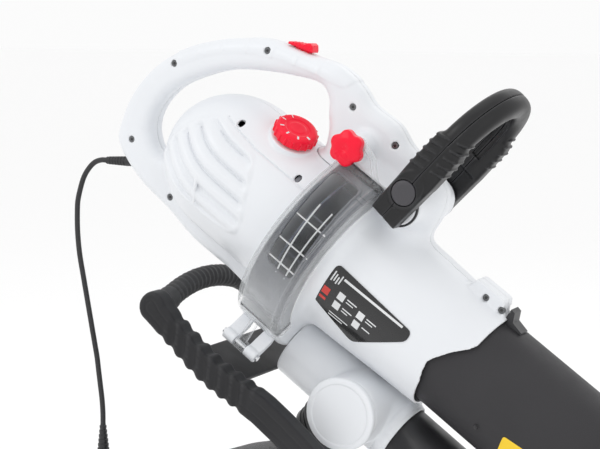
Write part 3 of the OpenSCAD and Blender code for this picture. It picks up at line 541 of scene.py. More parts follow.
# ---------------------------------------------------------------- shape helpers
def place(v, origin=(0, 0, 0), lean=0.0, roll=0.0):
    """Turns points by roll about the u axis, then by lean about the y axis, and moves them to origin."""
    v = np.array(v, float)
    a, b = math.radians(roll), math.radians(lean)
    y, w = v[:, 1] * math.cos(a) - v[:, 2] * math.sin(a), v[:, 1] * math.sin(a) + v[:, 2] * math.cos(a)
    u, w = v[:, 0] * math.cos(b) + w * math.sin(b), w * math.cos(b) - v[:, 0] * math.sin(b)
    return np.stack([u, y, w], -1) + np.array(origin, float)


def fillet(points, r, k=4):
    """Rounds the inner corners of an open line of [radius, station] points."""
    p = [np.array(x, float) for x in points]
    out = [p[0]]
    for a, b, c in zip(p, p[1:], p[2:]):
        la, lc = np.linalg.norm(a - b), np.linalg.norm(c - b)
        t = min(r, la * 0.45, lc * 0.45)
        s, e = b + (a - b) / la * t, b + (c - b) / lc * t
        for i in range(k + 1):
            q = i / k
            out.append((1 - q) ** 2 * s + 2 * q * (1 - q) * b + q * q * e)
    out.append(p[-1])
    return out


def lathe(profile, origin, axis, n=96, closed=False, wobble=None):
    """Turns a profile of [radius, station] points about an axis; wobble changes the radius."""
    axis = np.array(axis, float) / np.linalg.norm(axis)
    side = np.cross(axis, (0, 1, 0) if abs(axis[1]) < 0.9 else (0, 0, 1))
    side = side / np.linalg.norm(side)
    other = np.cross(axis, side)
    a = np.arange(n) * 2 * math.pi / n
    ring = np.cos(a)[:, None] * side + np.sin(a)[:, None] * other
    v = []
    for r, s in profile:
        rr = max(r, 1.4) + (wobble(a, s, r) if wobble and r > 1 else 0)
        v.append(np.array(origin, float) + s * axis + ring * np.reshape(rr, (-1, 1)))
    v = np.concatenate(v)
    m = len(profile)
    faces = [(i * n + j, i * n + (j + 1) % n, (i + 1) % m * n + (j + 1) % n, (i + 1) % m * n + j)
             for i in range(m if closed else m - 1) for j in range(n)]
    if not closed:
        faces += [tuple(range(n))[::-1], tuple((m - 1) * n + j for j in range(n))]
    return v, faces


def sweep(path, radius, n=16, up=(0, 1, 0), squash=1.0):
    """A round rod along a path; radius is one number or one for each point."""
    path = np.array(path, float)
    t = np.gradient(path, axis=0)
    t /= np.linalg.norm(t, axis=1)[:, None]
    side = np.cross(t, up)
    side /= np.linalg.norm(side, axis=1)[:, None]
    over = np.cross(side, t)
    r = np.broadcast_to(radius, (len(path),))
    a = np.arange(n) * 2 * math.pi / n
    v = (path[:, None] + r[:, None, None] * (np.cos(a)[None, :, None] * side[:, None]
                                             + squash * np.sin(a)[None, :, None]
                                             * over[:, None])).reshape(-1, 3)
    m = len(path)
    faces = [(i * n + j, i * n + (j + 1) % n, (i + 1) * n + (j + 1) % n, (i + 1) * n + j)
             for i in range(m - 1) for j in range(n)]
    faces += [tuple(range(n))[::-1], tuple((m - 1) * n + j for j in range(n))]
    return v, faces


def joined(*parts):
    """Several (points, faces) pairs as one."""
    v, faces, k = [], [], 0
    for pv, pf in parts:
        v.append(np.asarray(pv, float))
        faces += [tuple(int(i) + k for i in q) for q in pf]
        k += len(pv)
    return np.concatenate(v), faces


def spline(points, n=8):
    """An open Catmull-Rom curve."""
    p = np.array(points, float)
    p = np.concatenate([[2 * p[0] - p[1]], p, [2 * p[-1] - p[-2]]])
    out = []
    for i in range(1, len(p) - 2):
        a, b, c, d = p[i - 1:i + 3]
        for k in range(n):
            out.append(between(a, b, c, d, k / n))
    return np.array(out + [p[-2]])


# ---------------------------------------------------------------- fan cover, painted-shade inner wall, dial, knob and switch
HINGE = (-72.32, -119)
TONGUE = [(14, 76), (6, 110), (8, 126), (24, 130), (46, 122), (62, 104), (64, 76)]


def fan_cover(mat):
    f = Field((2, -122, -130), (78, -34, 134), 1.0)
    rho = np.sqrt(f.y ** 2 + f.w ** 2)
    phi = np.degrees(np.arctan2(-f.y, -f.w))
    flat = np.abs(f.u - 43) - 29
    outer = pill(rho - 113, flat, 9)
    inner = pill(rho - 110.4, flat + 2.6, 6.5)
    ends = np.maximum(COVER_LOW + 0.5 - phi, phi - COVER_HIGH + 0.5) * 1.9
    lines = np.minimum(np.abs(np.abs(f.u - 43) - 26.5), np.abs(np.abs(f.u - 43) - 22)) - 0.9
    ribs = np.maximum(np.maximum(lines, np.abs(pill(rho - 113.6, flat - 0.6, 9)) - 1.1), ends)
    band = np.maximum(np.abs(pill(rho - 113.4, flat - 0.4, 9)) - 1.2,
                      np.maximum(ends, np.minimum(phi - 46, 150 - phi) * 1.9))
    d = smin(np.maximum(outer, -inner), np.minimum(ribs, band), 1.0)
    d = smax(d, ends, 0.8)
    d = np.maximum(d, 93.6 - rho)
    tongue = side_view(f, TONGUE)
    plate = slab(tongue, f.y + 49.3, 3, 1)
    rim = np.maximum(np.maximum(np.abs(tongue + 2.2) - 1.3, np.abs(f.y + 51.5) - 4.2), -tongue - 60)
    plate = np.maximum(smin(plate, rim, 1.2), 111.5 - rho)
    plate = np.maximum(plate, 3.2 - np.sqrt((f.u - KNOB[0]) ** 2 + (f.w - KNOB[1]) ** 2))
    d = smin(d, plate, 2)
    # middle knuckle with its stepped leaf
    leaf = np.minimum(np.sqrt((f.y - HINGE[0]) ** 2 + (f.w - HINGE[1]) ** 2) - 6.4,
                      bar(f, (43, -75, -116), (43, -76, -90), 5))
    for k, (a, b) in enumerate(((36.2, 49.8), (33, 53))):
        block = np.maximum(np.abs(f.u - (a + b) / 2) - (b - a) / 2, leaf if k == 0
                           else np.maximum(leaf + 1.5, -106 - f.w))
        d = smin(d, block, 1.0)
    d = np.maximum(d, 3.1 - np.sqrt((f.y - HINGE[0]) ** 2 + (f.w - HINGE[1]) ** 2))
    d = np.maximum(d, -inner)
    return piece("fan_cover", *surface(f, d), "cover", mat, ["volute_cover"], "clear_cover")


def hinge_mount(mat):
    f = Field((18, -84, -128), (68, -56, -86), 0.9)
    round_ = np.sqrt((f.y - HINGE[0]) ** 2 + (f.w - HINGE[1]) ** 2)
    web = np.minimum(round_ - 6.4, segment_yw(f, (-70, -117), (-52, -97)) - 4.2)
    d = np.full(f.shape, 1e3, np.float32)
    for a, b in ((21.2, 35.4), (50.6, 64.8)):
        d = np.minimum(d, smax(web, np.abs(f.u - (a + b) / 2) - (b - a) / 2, 1.2))
    rho = np.sqrt(f.y ** 2 + f.w ** 2)
    d = np.maximum(d, 112.6 - rho)
    d = np.maximum(d, 3.1 - round_)
    return piece("hinge_mount", *surface(f, d), "blower", mat, (), "white_shell")


def segment_yw(f, a, b):
    ey, ew = b[0] - a[0], b[1] - a[1]
    t = np.clip(((f.y - a[0]) * ey + (f.w - a[1]) * ew) / (ey * ey + ew * ew), 0, 1)
    return np.sqrt((f.y - a[0] - t * ey) ** 2 + (f.w - a[1] - t * ew) ** 2)


def on_ring(u, degrees, r):
    """A point on the volute's right side, by its angle up from straight down."""
    a = math.radians(degrees)
    return (u, -r * math.sin(a), -r * math.cos(a))


def scroll_shade_liner(mat, highlight_strip_mat):
    """A dark wall behind the clear cover, painted shade for the inside of the volute, with an opening on the
    fan that white strips cross; the strips are painted highlights of the fan's blade edges.
    """
    f = Field((15, -108, -86), (71, -38, 100), 1.2)
    rho = np.sqrt(f.y ** 2 + f.w ** 2)
    phi = np.degrees(np.arctan2(-f.y, -f.w))
    arc = math.radians(1) * 102
    d = np.maximum(np.abs(rho - 102) - 0.8, np.abs(f.u - 43) - 26.2)
    d = np.maximum(d, np.maximum(39.5 - phi, phi - 155) * arc)
    hole = smax(np.abs(f.u - 43 + (phi - 84) * 0.1) - 17, np.maximum(82 - phi, phi - 148) * arc, 7)
    d = smax(d, -hole, 0.6)
    ledge = np.maximum(np.abs(hole - 1) - 1.2, np.abs(rho - 103) - 2)
    d = smin(d, ledge, 0.8)
    piece("scroll_shade_liner", *surface(f, d), "blower", mat, (), "clear_cover")
    # white strips along the fan's blade edges seen through the cover: painted highlights
    strips = []
    for u0, u1 in ((36, 42), (52, 53)):
        strips.append(sweep([on_ring(u0 + (u1 - u0) * t, 126 - 46 * t, 102.6)
                             for t in np.linspace(0, 1, 30)], 0.9, 8, up=(1, 0, 0)))
    for a in (86, 98, 114):
        strips.append(sweep([on_ring(u, a, 102.6) for u in np.linspace(24, 62, 10)], 0.9, 8, up=(0, 0, 1)))
    piece("fan_highlight_strips", *joined(*strips), "blower", highlight_strip_mat, (), "white_shell")


def speed_dial(mat, mark_mat):
    f = Field((-27, -27, -1), (27, 27, 17), 0.6)
    r = np.sqrt(f.u ** 2 + f.y ** 2)
    a = np.arctan2(f.y, f.u)
    body = pill(r - 22.6, np.abs(f.w - 7) - 7, 4.2)
    flute = np.maximum(np.abs(np.sin(a * 9)) * r / 9 * 1.0 - 1.0, np.abs(f.w - 6.4) - 4.2)
    ribs = np.maximum(flute, pill(r - 24.1, np.abs(f.w - 7) - 6, 3))
    d = smin(body, ribs, 0.8)
    d = smax(d, -np.maximum(r - 13, 13.2 - f.w), 1.0)
    d = smin(d, pill(r - 9, np.abs(f.w - 12.4) - 1.2, 0.8), 0.8)
    d = np.maximum(d, -np.maximum(r - 3.3, f.w - 8))
    d = np.maximum(d, 0.05 - f.w)
    v, q = surface(f, d)
    set_ = lambda pts: place(pts, (-49, -78 * math.sin(math.radians(18)), 78 * math.cos(math.radians(18))),
                             0, 18)
    piece("dial_cap", set_(v), q, "dial", mat, ["speed_dial"], "red_control")
    marks = []
    for k in range(6):
        t = math.radians(150 + 40 * k)
        c, s = math.cos(t), math.sin(t)
        box = [(15.2, -0.5 - 0.12 * k), (19.4, -0.5 - 0.12 * k), (19.4, 0.5 + 0.12 * k),
               (15.2, 0.5 + 0.12 * k)]
        top = [(x * c - y * s, x * s + y * c, 14.25) for x, y in box]
        low = [(x, y, 13.6) for x, y, _ in top]
        marks.append((np.array(top + low),
                      [(0, 1, 2, 3), (7, 6, 5, 4), (0, 4, 5, 1), (1, 5, 6, 2), (2, 6, 7, 3), (3, 7, 4, 0)]))
    v, q = joined(*marks)
    piece("dial_marks", set_(v), q, "dial", mark_mat, (), "white_shell")


def star_knob(mat):
    f = Field((-21, -72, -21), (21, -51, 21), 0.6)
    d = pill(np.sqrt(f.u ** 2 + f.w ** 2) - 12.5, np.abs(f.y + 61.6) - 8.8, 3)
    for k in range(6):
        t = math.radians(60 * k)
        lobe = pill(np.sqrt((f.u - 11.6 * math.cos(t)) ** 2 + (f.w - 11.6 * math.sin(t)) ** 2) - 6.9,
                    np.abs(f.y + 62.6) - 6.2, 3.4)
        d = smin(d, lobe, 4.2)
    d = smax(d, np.sqrt(f.u ** 2 + f.w ** 2 + (f.y + 30) ** 2) - 41.2, 2)
    dish = np.sqrt(f.u ** 2 + f.w ** 2 + (f.y + 76) ** 2) - 7.4
    d = smax(d, -dish, 1.2)
    d = np.maximum(d, -np.maximum(np.sqrt(f.u ** 2 + f.w ** 2) - 3.1, -65 - f.y))
    v, q = surface(f, d)
    return piece("clamp_knob", place(v, (KNOB[0], 0, KNOB[1])), q, "knob", mat, ["star_knob"], "red_control")


def slide_switch(mat):
    f = Field((-19, -9, -7), (15, 9, 14), 0.5)
    shape = [(-17, 3.5), (-16.4, 6.2), (-6, 8.6), (2, 9.2), (4.6, 11.4), (8, 12.2), (11, 10.8), (13, 5.5),
             (13, 3.5)]
    d = slab(side_view(f, shape), f.y, 8, 1.6)
    for k in range(4):
        d = smax(d, -np.maximum(np.abs(f.u + 13.2 - 3.9 * k) - 0.7, 6.1 + 0.5 * k - f.w), 0.5)
    stem = np.maximum(np.maximum(np.abs(f.u) - 8, np.abs(f.y) - 4.2), np.abs(f.w + 0.5) - 5)
    d = smin(d, stem, 0.5)
    v, q = surface(f, d)
    return piece("switch_slider", place(v, (-100, 0, 145), -16), q, "switch", mat, ["slide_switch"],
                 "red_control")


# ---------------------------------------------------------------- front handle
LEG = [(-16, -13), (-17, 20), (-17.6, 44), (-17, 84), (-15, 92), (15, 92), (17, 84), (17.6, 44), (17, 20),
       (16, -13)]


def front_handle(mat):
    for front in (False, True):
        f = Field((-1 if front else -22, -75, -16), (22 if front else 1, 75, 158), 1.2)
        near = np.abs(f.y)
        leg = slab(side_view(f, LEG), near - 59.6, 9.9, 4)
        leg = smax(leg, f.w - 92, 8)
        up = f.w - 84
        ring = np.sqrt(f.y ** 2 + np.maximum(up, 0) ** 2) - 56.6
        bow = (np.abs(ring / 12.6) ** 2.6 + np.abs(f.u / 14.6) ** 2.6 + 1e-6) ** (1 / 2.6) * 13.4 - 13.4
        bow = np.maximum(bow, 44 - f.w)
        d = smin(leg, bow, 6)
        # pad round the button on the right leg, and ribs on the back of both legs
        pad = np.sqrt(f.u ** 2 + (np.maximum(np.abs(f.w - 26) - 6, 0)) ** 2) - 15.2
        d = smin(d, np.maximum(pad, np.abs(f.y + 66.5) - 4.4), 1.6)
        for k in range(5):
            rib = np.maximum(np.abs(f.w - 56 - 9.5 * k - 0.35 * f.u) - 1.3, np.abs(near - 60) - 12)
            rib = np.maximum(rib, d - 1.4)
            d = smin(d, np.maximum(rib, f.u + 2 if not front else 5 - f.u), 0.9)
        # shallow recess inside the bow and the seam between the halves
        d = smax(d, -np.maximum(np.abs(ring + 11.5) - 2.4, np.maximum(np.abs(f.u) - 5, 62 - f.w)), 1.5)
        hole = np.sqrt(f.u ** 2 + f.w ** 2) - 4.1
        d = np.maximum(d, -np.maximum(hole, near - 60.2))
        pocket = np.maximum(np.sqrt(f.u ** 2 + (f.w - 22) ** 2) - 13.3, f.y + 60.4)
        d = np.maximum(d, -pocket)
        d = smax(d, 0.18 - f.u if front else f.u + 0.18, 0.7)
        v, q = surface(f, d)
        part = "front" if front else "rear"
        piece("bow_" + part, place(v, (SWIVEL[0], 0, SWIVEL[1]), 9), q, "front_handle", mat,
              ["front_handle_" + part], "black_plastic")


def handle_button(mat):
    line = fillet([(0, -72.2), (8.5, -72.6), (12.6, -71.4), (12.9, -67), (12.9, -65.8), (0, -65.8)], 1.6)
    v, q = lathe(line, (0, 0, 22), (0, 1, 0), 64)
    piece("lock_button", place(v, (SWIVEL[0], 0, SWIVEL[1]), 9), q, "button", mat, ["handle_button"],
          "grey_button")


def pivot_rings(black, white):
    rings, discs = [], []
    for side in (-1, 1):
        edge = [(19, 45.4), (21, 45.4), (21, 47.2), (20.2, 48.0), (19.2, 47.6), (19, 46.8)]
        disc = fillet([(4.4, 45.4), (18.8, 45.4), (18.8, 47.8), (18, 48.8), (4.4, 48.8)], 0.6)
        rings.append(lathe(edge, (SWIVEL[0], 0, SWIVEL[1]), (0, side, 0), 96, True))
        discs.append(lathe(disc, (SWIVEL[0], 0, SWIVEL[1]), (0, side, 0), 96, True))
    piece("pivot_rings", *joined(*rings), "blower", black, ["handle_washers"], "black_plastic")
    piece("pivot_discs", *joined(*discs), "blower", white, (), "white_shell")


# ---------------------------------------------------------------- carrying frame
ARM = [(-64, -140.3), (-60, -126.3), (-48, -122.3), (-26, -129.3), (40, -135.3), (110, -129.3),
       (186, -135.3), (192, -144.3), (186, -161.3), (110, -159.3), (40, -165.3), (-36, -155.3),
       (-56, -152.3)]


def carry_frame(mat, soft):
    for side in (-1, 1):
        f = Field((-68, 84 if side > 0 else -112, -170), (196, 112 if side > 0 else -84, -118), 1.2)
        edge = side_view(f, closed_curve(ARM, 3))
        d = slab(edge, f.y - side * 98, 12, 4.5)
        wave = np.cos(2 * math.pi * (f.u + 0.55 * f.w) / 15.5)
        reach = np.clip((f.u + 30) / 12, 0, 1) * np.clip((100 - f.u) / 14, 0, 1)
        d = d + (1.3 + 1.3 * wave) * reach
        d = smax(d, -np.maximum(np.abs(f.y - side * 110.5) - 1.2, np.abs(edge + 9) - 1.0), 0.8)
        v, q = surface(f, d)
        name = "right" if side < 0 else "left"
        piece("frame_arm_" + name, v, q, "blower", mat, ["carry_frame_" + name], "black_plastic")
    reach = 85.7
    bend = (reach ** 2 + 16 ** 2) / 32
    t = np.linspace(-reach, reach, 221)
    sag = np.sqrt(bend ** 2 - t ** 2) - bend + 16
    path = np.stack([np.zeros_like(t), t, sag], -1)
    path = place(path, (-48, 0, -136.3), -45)
    ribbed = np.clip((74 - np.abs(t)) / 5, 0, 1)
    radius = 12.2 - 1.5 * ribbed * (0.5 - 0.5 * np.cos(2 * math.pi * t / 8.2)) ** 0.5 + 0.7 * (1 - ribbed)
    piece("ribbed_grip", *sweep(path, radius, 32, up=(0, 0, 1)), "blower", soft, ["carry_grip"], "soft_grip",
          smooth=50)
    f = Field((10, -88, -160), (72, 88, -141), 1.6)
    d = slab(np.maximum(np.abs(f.u - 41) - 27, np.abs(f.w + 147.4) - 2.6), f.y, 85.6, 1.6)
    for u in (27, 53):
        d = smin(d, slab(np.maximum(np.abs(f.u - u) - 5, np.abs(f.w + 151.5) - 5.6), f.y, 85.6, 1.6), 1.5)
    for k in range(-4, 5):
        d = smin(d, np.maximum(np.maximum(np.abs(f.y - 18 * k) - 1.3, np.abs(f.u - 41) - 24),
                               np.abs(f.w + 150) - 4), 0.8)
    piece("frame_cross_plate", *surface(f, d), "blower", mat, ["frame_bracket"], "black_plastic")


# ---------------------------------------------------------------- blow duct, drum and chute
CHUTE = (-math.sin(math.radians(20)), -math.cos(math.radians(20)))


def duct_half(side, mat):
    f = Field((69, -63 if side < 0 else -1, -180), (224, 1 if side < 0 else 63, -66), 1.3)
    near = np.abs(f.y)
    tube_r = np.sqrt(f.y ** 2 + (f.w - DUCT_W) ** 2)
    drum_r = np.sqrt((f.u - DRUM[0]) ** 2 + (f.w - DRUM[1]) ** 2)
    along = (f.u - DRUM[0]) * CHUTE[0] + (f.w - DRUM[1]) * CHUTE[1]
    chute_r = np.sqrt(np.maximum((f.u - DRUM[0]) ** 2 + (f.w - DRUM[1]) ** 2 - along ** 2, 0) + f.y ** 2)
    tube = pill(tube_r - 35, np.maximum(72.4 - f.u, f.u - 220), 1.4)
    d = smin(tube, pill(drum_r - 37, near - 60, 2.5), 4)
    d = smin(d, pill(chute_r - 28, np.maximum(-along, along - 70), 1), 4)
    # bead round the front end
    d = smin(d, np.maximum(np.abs(tube_r - 35.4) - 0.8, np.abs(f.u - 212) - 4), 0.8)
    hollow = np.minimum(tube_r - 32.4, np.maximum(drum_r - 34.4, near - 57.4))
    hollow = np.minimum(hollow, np.maximum(chute_r - 25.4, -along))
    hollow = np.minimum(hollow, np.maximum(drum_r - 6.2, 50 - near))
    d = np.maximum(d, -hollow)
    rho = np.sqrt(f.y ** 2 + f.w ** 2)
    d = np.maximum(d, cone_radius(f.u) + 0.3 - rho)
    d = smax(d, f.y + 0.2 if side < 0 else 0.2 - f.y, 0.4)
    v, q = surface(f, d)
    name = "duct_right" if side < 0 else "duct_left"
    piece(name + "_shell", v, q, "blower", mat, [name], "white_shell")


def changeover_disc(mat):
    f = Field((-40, -71, -40), (40, -59, 40), 0.8)
    r = np.sqrt(f.u ** 2 + f.w ** 2)
    d = pill(r - 38, np.abs(f.y + 64.9) - 4.5, 3.2)
    d = smax(d, -np.maximum(r - 31, f.y + 68.5), 1.0)
    v, q = surface(f, d)
    piece("changeover_disc", place(v, (DRUM[0], 0, DRUM[1])), q, "changeover", mat, ["changeover_knob"],
          "white_shell")


# ---------------------------------------------------------------- tubes
TIP, BLOW_TIP = 932.3, 872.3


def suction_tubes(mat):
    def band(a, s, r):
        top = np.exp(-(np.minimum(np.abs(a - BAND_AT), 2 * math.pi - np.abs(a - BAND_AT)) / 0.16) ** 6)
        return (0.9 * top) if 262 < s < 515 or 618 < s < TIP - 80 else 0 * a

    upper = [(58.8, 192.3), (60.6, 192.3), (61, 193)] + [(61, s)
                                    for s in range(200, 560, 20)] + [(61, 564), (60.4, 565.1), (58.8, 565.1)]
    piece("tube_upper", *lathe(upper, (0, 0, 0), (1, 0, 0), 128, True, band), "blower", mat,
          ["suction_tube_upper"], "dark_tube")
    steps = [(58.8, 565.5), (61.4, 565.5), (61.4, 519.1), (63.0, 519.1), (63.6, 520.4), (63.6, 526),
             (64.8, 527.4), (64.8, 532), (63.6, 533.4), (63.6, 597), (64.8, 598.4), (64.8, 603),
             (63.6, 604.4), (63.6, 608), (61, 613)]
    steps += [(61, s) for s in range(620, 920, 20)] + [(61, TIP), (58.8, TIP)]
    v, q = lathe(steps, (0, 0, 0), (1, 0, 0), 128, True, band)
    v[:, 0] = np.where(v[:, 0] > 800,
            800 + (v[:, 0] - 800) * (1 + (v[:, 2] - 61) * math.tan(math.radians(30)) / (TIP - 800)), v[:, 0])
    web = np.array([(u, y, w) for u in (625, 640, 785, 800) for y in (-2, 2) for w in (-78.2, -60.6)])
    web[:, 0] = [625, 618, 625, 618, 640, 640, 640, 640, 785, 785, 785, 785, 800, 807, 800, 807]
    faces = [(0, 1, 3, 2), (12, 14, 15, 13)]
    for i in range(3):
        b = 4 * i
        faces += [(b, b + 4, b + 5, b + 1), (b + 2, b + 3, b + 7, b + 6), (b, b + 2, b + 6, b + 4),
                  (b + 1, b + 5, b + 7, b + 3)]
    ov, oq = joined((v, q), (web, faces))
    piece("tube_lower", ov, oq, "blower", mat, ["suction_tube_lower"], "dark_tube")
    # snap button of the joint and the small stop on the upper tube
    bits = []
    for at, r, tall in (((548, 0, 63.2), 6, 3.0), ((286, -55, -22), 2.2, 1.2)):
        p = np.array(at, float)
        axis = np.array((0, p[1], p[2])) / math.hypot(p[1], p[2])
        base = axis * 60.6
        line = fillet([(r, 0), (r, tall + 2), (0, tall + 2.6)], 1.2)
        bits.append(lathe(line, (at[0], base[1], base[2]), axis, 32))
    piece("tube_stops", *joined(*bits), "blower", mat, (), "dark_tube")


BAND_AT = math.pi / 2


def blow_tubes(mat):
    upper = [(29.8, 207.2), (31.4, 207.2), (32, 208), (32, 564), (31.4, 565.1), (29.8, 565.1)]
    piece("blow_upper", *lathe(upper, (0, 0, DUCT_W), (1, 0, 0), 96, True), "blower", mat,
          ["blow_tube_upper"], "black_plastic")
    lower = [(29.8, 565.5), (32.4, 565.5), (32.4, 541.1), (34.2, 541.1), (34.6, 542), (34.6, 548),
             (35.6, 549), (35.6, 552), (34.6, 553), (34.6, 586), (33.6, 589), (32, 590),
             (32, BLOW_TIP - 30), (31.2, BLOW_TIP - 4), (30.6, BLOW_TIP), (29.8, BLOW_TIP)]
    piece("blow_lower", *lathe(lower, (0, 0, DUCT_W), (1, 0, 0), 96, True), "blower", mat,
          ["blow_tube_lower"], "black_plastic")


def wheels(mat):
    for side in (-1, 1):
        line = [(4.1, 46.2), (9, 46.2), (9, 48.6), (10.5, 50), (18.5, 50), (20.5, 46.4), (25.5, 46.4),
                (27.6, 48.6), (28, 50.5), (27.2, 52.6), (27.2, 53.6), (28, 54.4), (28, 55.8),
                (27.2, 56.6), (27.2, 57.6), (28, 59.6), (27.6, 61.6), (25.5, 63.8), (20.5, 63.8),
                (18.5, 60), (10.5, 60), (9, 61.4), (9, 63.8), (4.1, 63.8)]

        def tread(a, s, r):
            return -0.5 * (np.cos(a * 30) > 0.4) * (r > 27) + 0 * a

        v, q = lathe(line, (842.3, 0, DUCT_W - 52), (0, side, 0), 120, True, tread)
        name = "right" if side < 0 else "left"
        spokes = []
        for k in range(6):
            t = math.radians(60 * k + 15)
            c, s = math.cos(t), math.sin(t)
            spokes.append(sweep([(842.3 + r * c, side * 55, DUCT_W - 52 + r * s) for r in (8.5, 14, 20)],
                                (2.6, 2.0, 2.6), 10, squash=3.2))
        piece("wheel_tyre_" + name, *joined((v, q), *spokes), "wheel_r" if side < 0
              else "wheel_l", mat, ["wheel_" + name], "wheel_rubber")


# ---------------------------------------------------------------- plate, sticker and painted shade in the screw heads
def on_cone(u, w, lift):
    r = cone_radius(np.asarray(u, float)) + lift
    w = np.asarray(w, float) * r / cone_radius(np.asarray(u, float))
    return np.stack([np.asarray(u, float), -np.sqrt(np.maximum(r ** 2 - w ** 2, 1)), w], -1)


def skin(outline, surface_at, lift, thick, step=2.5):
    """A thin sheet that follows a surface inside a side-view outline."""
    o = np.array(outline, float)
    bm = bmesh.new()
    ring = [bm.verts.new((p[0], p[1], 0)) for p in o]
    bm.faces.new(ring)
    for axis in (0, 1):
        a, b = o[:, axis].min(), o[:, axis].max()
        for k in range(1, max(2, int((b - a) / step))):
            co, no = Vector((0, 0, 0)), Vector((0, 0, 0))
            co[axis], no[axis] = a + (b - a) * k / max(2, int((b - a) / step)), 1
            bmesh.ops.bisect_plane(bm, geom=bm.verts[:] + bm.edges[:] + bm.faces[:], plane_co=co,
                                   plane_no=no)
    bm.verts.ensure_lookup_table()
    flat = np.array([v.co[:2] for v in bm.verts])
    n = len(flat)
    bm.verts.index_update()
    tops = [tuple(v.index for v in face.verts) for face in bm.faces]
    rims = [tuple(v.index for v in e.verts) for e in bm.edges if len(e.link_faces) == 1]
    bm.free()
    v = np.concatenate([surface_at(flat[:, 0], flat[:, 1], lift + thick),
                        surface_at(flat[:, 0], flat[:, 1], lift)])
    return v, tops + [tuple(i + n for i in t[::-1]) for t in tops] + [(a, b, b + n, a + n) for a, b in rims]


def corners_rounded(points, r, k=5):
    p = [np.array(x, float) for x in points]
    out = []
    for i, b in enumerate(p):
        a, c = p[i - 1], p[(i + 1) % len(p)]
        la, lc = np.linalg.norm(a - b), np.linalg.norm(c - b)
        t = min(r, la * 0.45, lc * 0.45)
        s, e = b + (a - b) / la * t, b + (c - b) / lc * t
        out += [tuple((1 - q) ** 2 * s + 2 * q * (1 - q) * b + q * q * e) for q in np.linspace(0, 1, k)]
    return out


PLATE = [(82, 20), (78, -26), (134, -41), (183, 2), (182, 13)]


def rating_plate(mat, marks_mat, tint_mat):
    piece("plate_film", *skin(corners_rounded(PLATE, 6), on_cone, 0.35, 0.5), "blower", mat,
          ["rating_plate"], "plate_print")

    def bars(rects):
        out = []
        for x0, y0, x1, y1 in rects:
            out.append(skin([(x0, y0), (x1, y0), (x1, y1), (x0, y1)], on_cone, 0.88, 0.12, 4))
        return joined(*out)

    squares = [(100, -9, 108, -1), (100, -20, 108, -12), (127, -12, 135, -4), (127, -23, 135, -15)]
    rows = [(97, 10, 172, 12.4), (111, -3.6, 123, -2.4), (111, -6.6, 120, -5.6), (111, -14.6, 123, -13.4),
            (111, -17.6, 119, -16.6), (138, -6.6, 150, -5.4), (138, -9.6, 147, -8.6),
            (138, -17.6, 148, -16.4), (100, -27, 124, -26), (100, -30, 118, -29)]
    rows += [(84.5 + 3 * k, 2 + 1.4 * (k % 2), 86 + 3 * k, 13 - 1.6 * (k % 3)) for k in range(4)]
    piece("plate_marks", *bars(squares + rows), "blower", marks_mat, (), "plate_print")
    piece("plate_tint", *bars([(83, -14, 91, -6), (83, -20, 91, -17)]), "blower", tint_mat, (),
          "red_control")


def tube_sticker(mat):
    def on_tube(u, w, lift):
        r = 61 + lift
        w = np.asarray(w, float)
        return np.stack([np.asarray(u, float), -np.sqrt(np.maximum(r ** 2 - w ** 2, 1)), w], -1)

    cx, cw = 330.3, -23
    def diamond(r):
        t = [math.radians(53 + 90 * k) for k in range(4)]
        return corners_rounded([(cx + r * math.cos(a), cw + r * math.sin(a)) for a in t], 3)

    piece("sticker_film", *skin(diamond(21.6), on_tube, 0.3, 0.45), "blower", mat, ["warning_diamond"],
          "yellow_sticker")


def screw_recess_shade(mat):
    # Flat black stars on the screw heads: painted shade standing in for the dark drive recesses.
    out = []
    for spots, deep in ((SCREWS, 16.95), (LUG_SCREWS, 9.95)):
        for u, w in spots:
            star = [(u + r * math.cos(t), -deep - 0.06, w + r * math.sin(t))
                    for k in range(12) for t, r in [(math.pi * k / 6, 2.2 if k % 2 else 1.3)]]
            low = [(p[0], p[1] + 0.05, p[2]) for p in star]
            n = 12
            out.append((np.array(star + low), [tuple(range(n)), tuple(range(n, 2 * n))[::-1]]
                        + [(i, (i + 1) % n, (i + 1) % n + n, i + n) for i in range(n)]))
    piece("screw_recess_shade", *joined(*out), "blower", mat, (), "steel", smooth=0)


# ---------------------------------------------------------------- bag, collar, cord and plug
CORD = [(-171, -118), (-179, -118), (-188, -121), (-196, -128), (-203, -138), (-208, -151), (-212, -166),
        (-213, -182), (-213, -198), (-212, -214), (-210, -230), (-207, -246), (-204, -262), (-201, -278),
        (-198, -294), (-195, -310), (-192, -326), (-189, -342), (-187, -358), (-185, -374), (-183, -390),
        (-182, -405), (-182, -420)]


def mouth_of_bag():
    return row([DRUM[0] + 70 * CHUTE[0], 0, DRUM[1] + 70 * CHUTE[1]])


def bag_collar(mat):
    origin = (DRUM[0], 0, DRUM[1])
    axis = (CHUTE[0], 0, CHUTE[1])
    line = [(28.4, 56), (35, 56), (35.4, 57), (35, 60), (31.4, 60.6), (31, 63), (32, 64), (31, 65), (31, 68),
            (32, 69), (31, 70), (31, 74.6), (30.4, 76), (25.6, 76), (25.6, 70.6), (28.4, 70.4)]
    piece("collar_ring", *lathe(line, origin, axis, 96, True), "blower", mat, ["bag_collar"],
          "black_plastic")


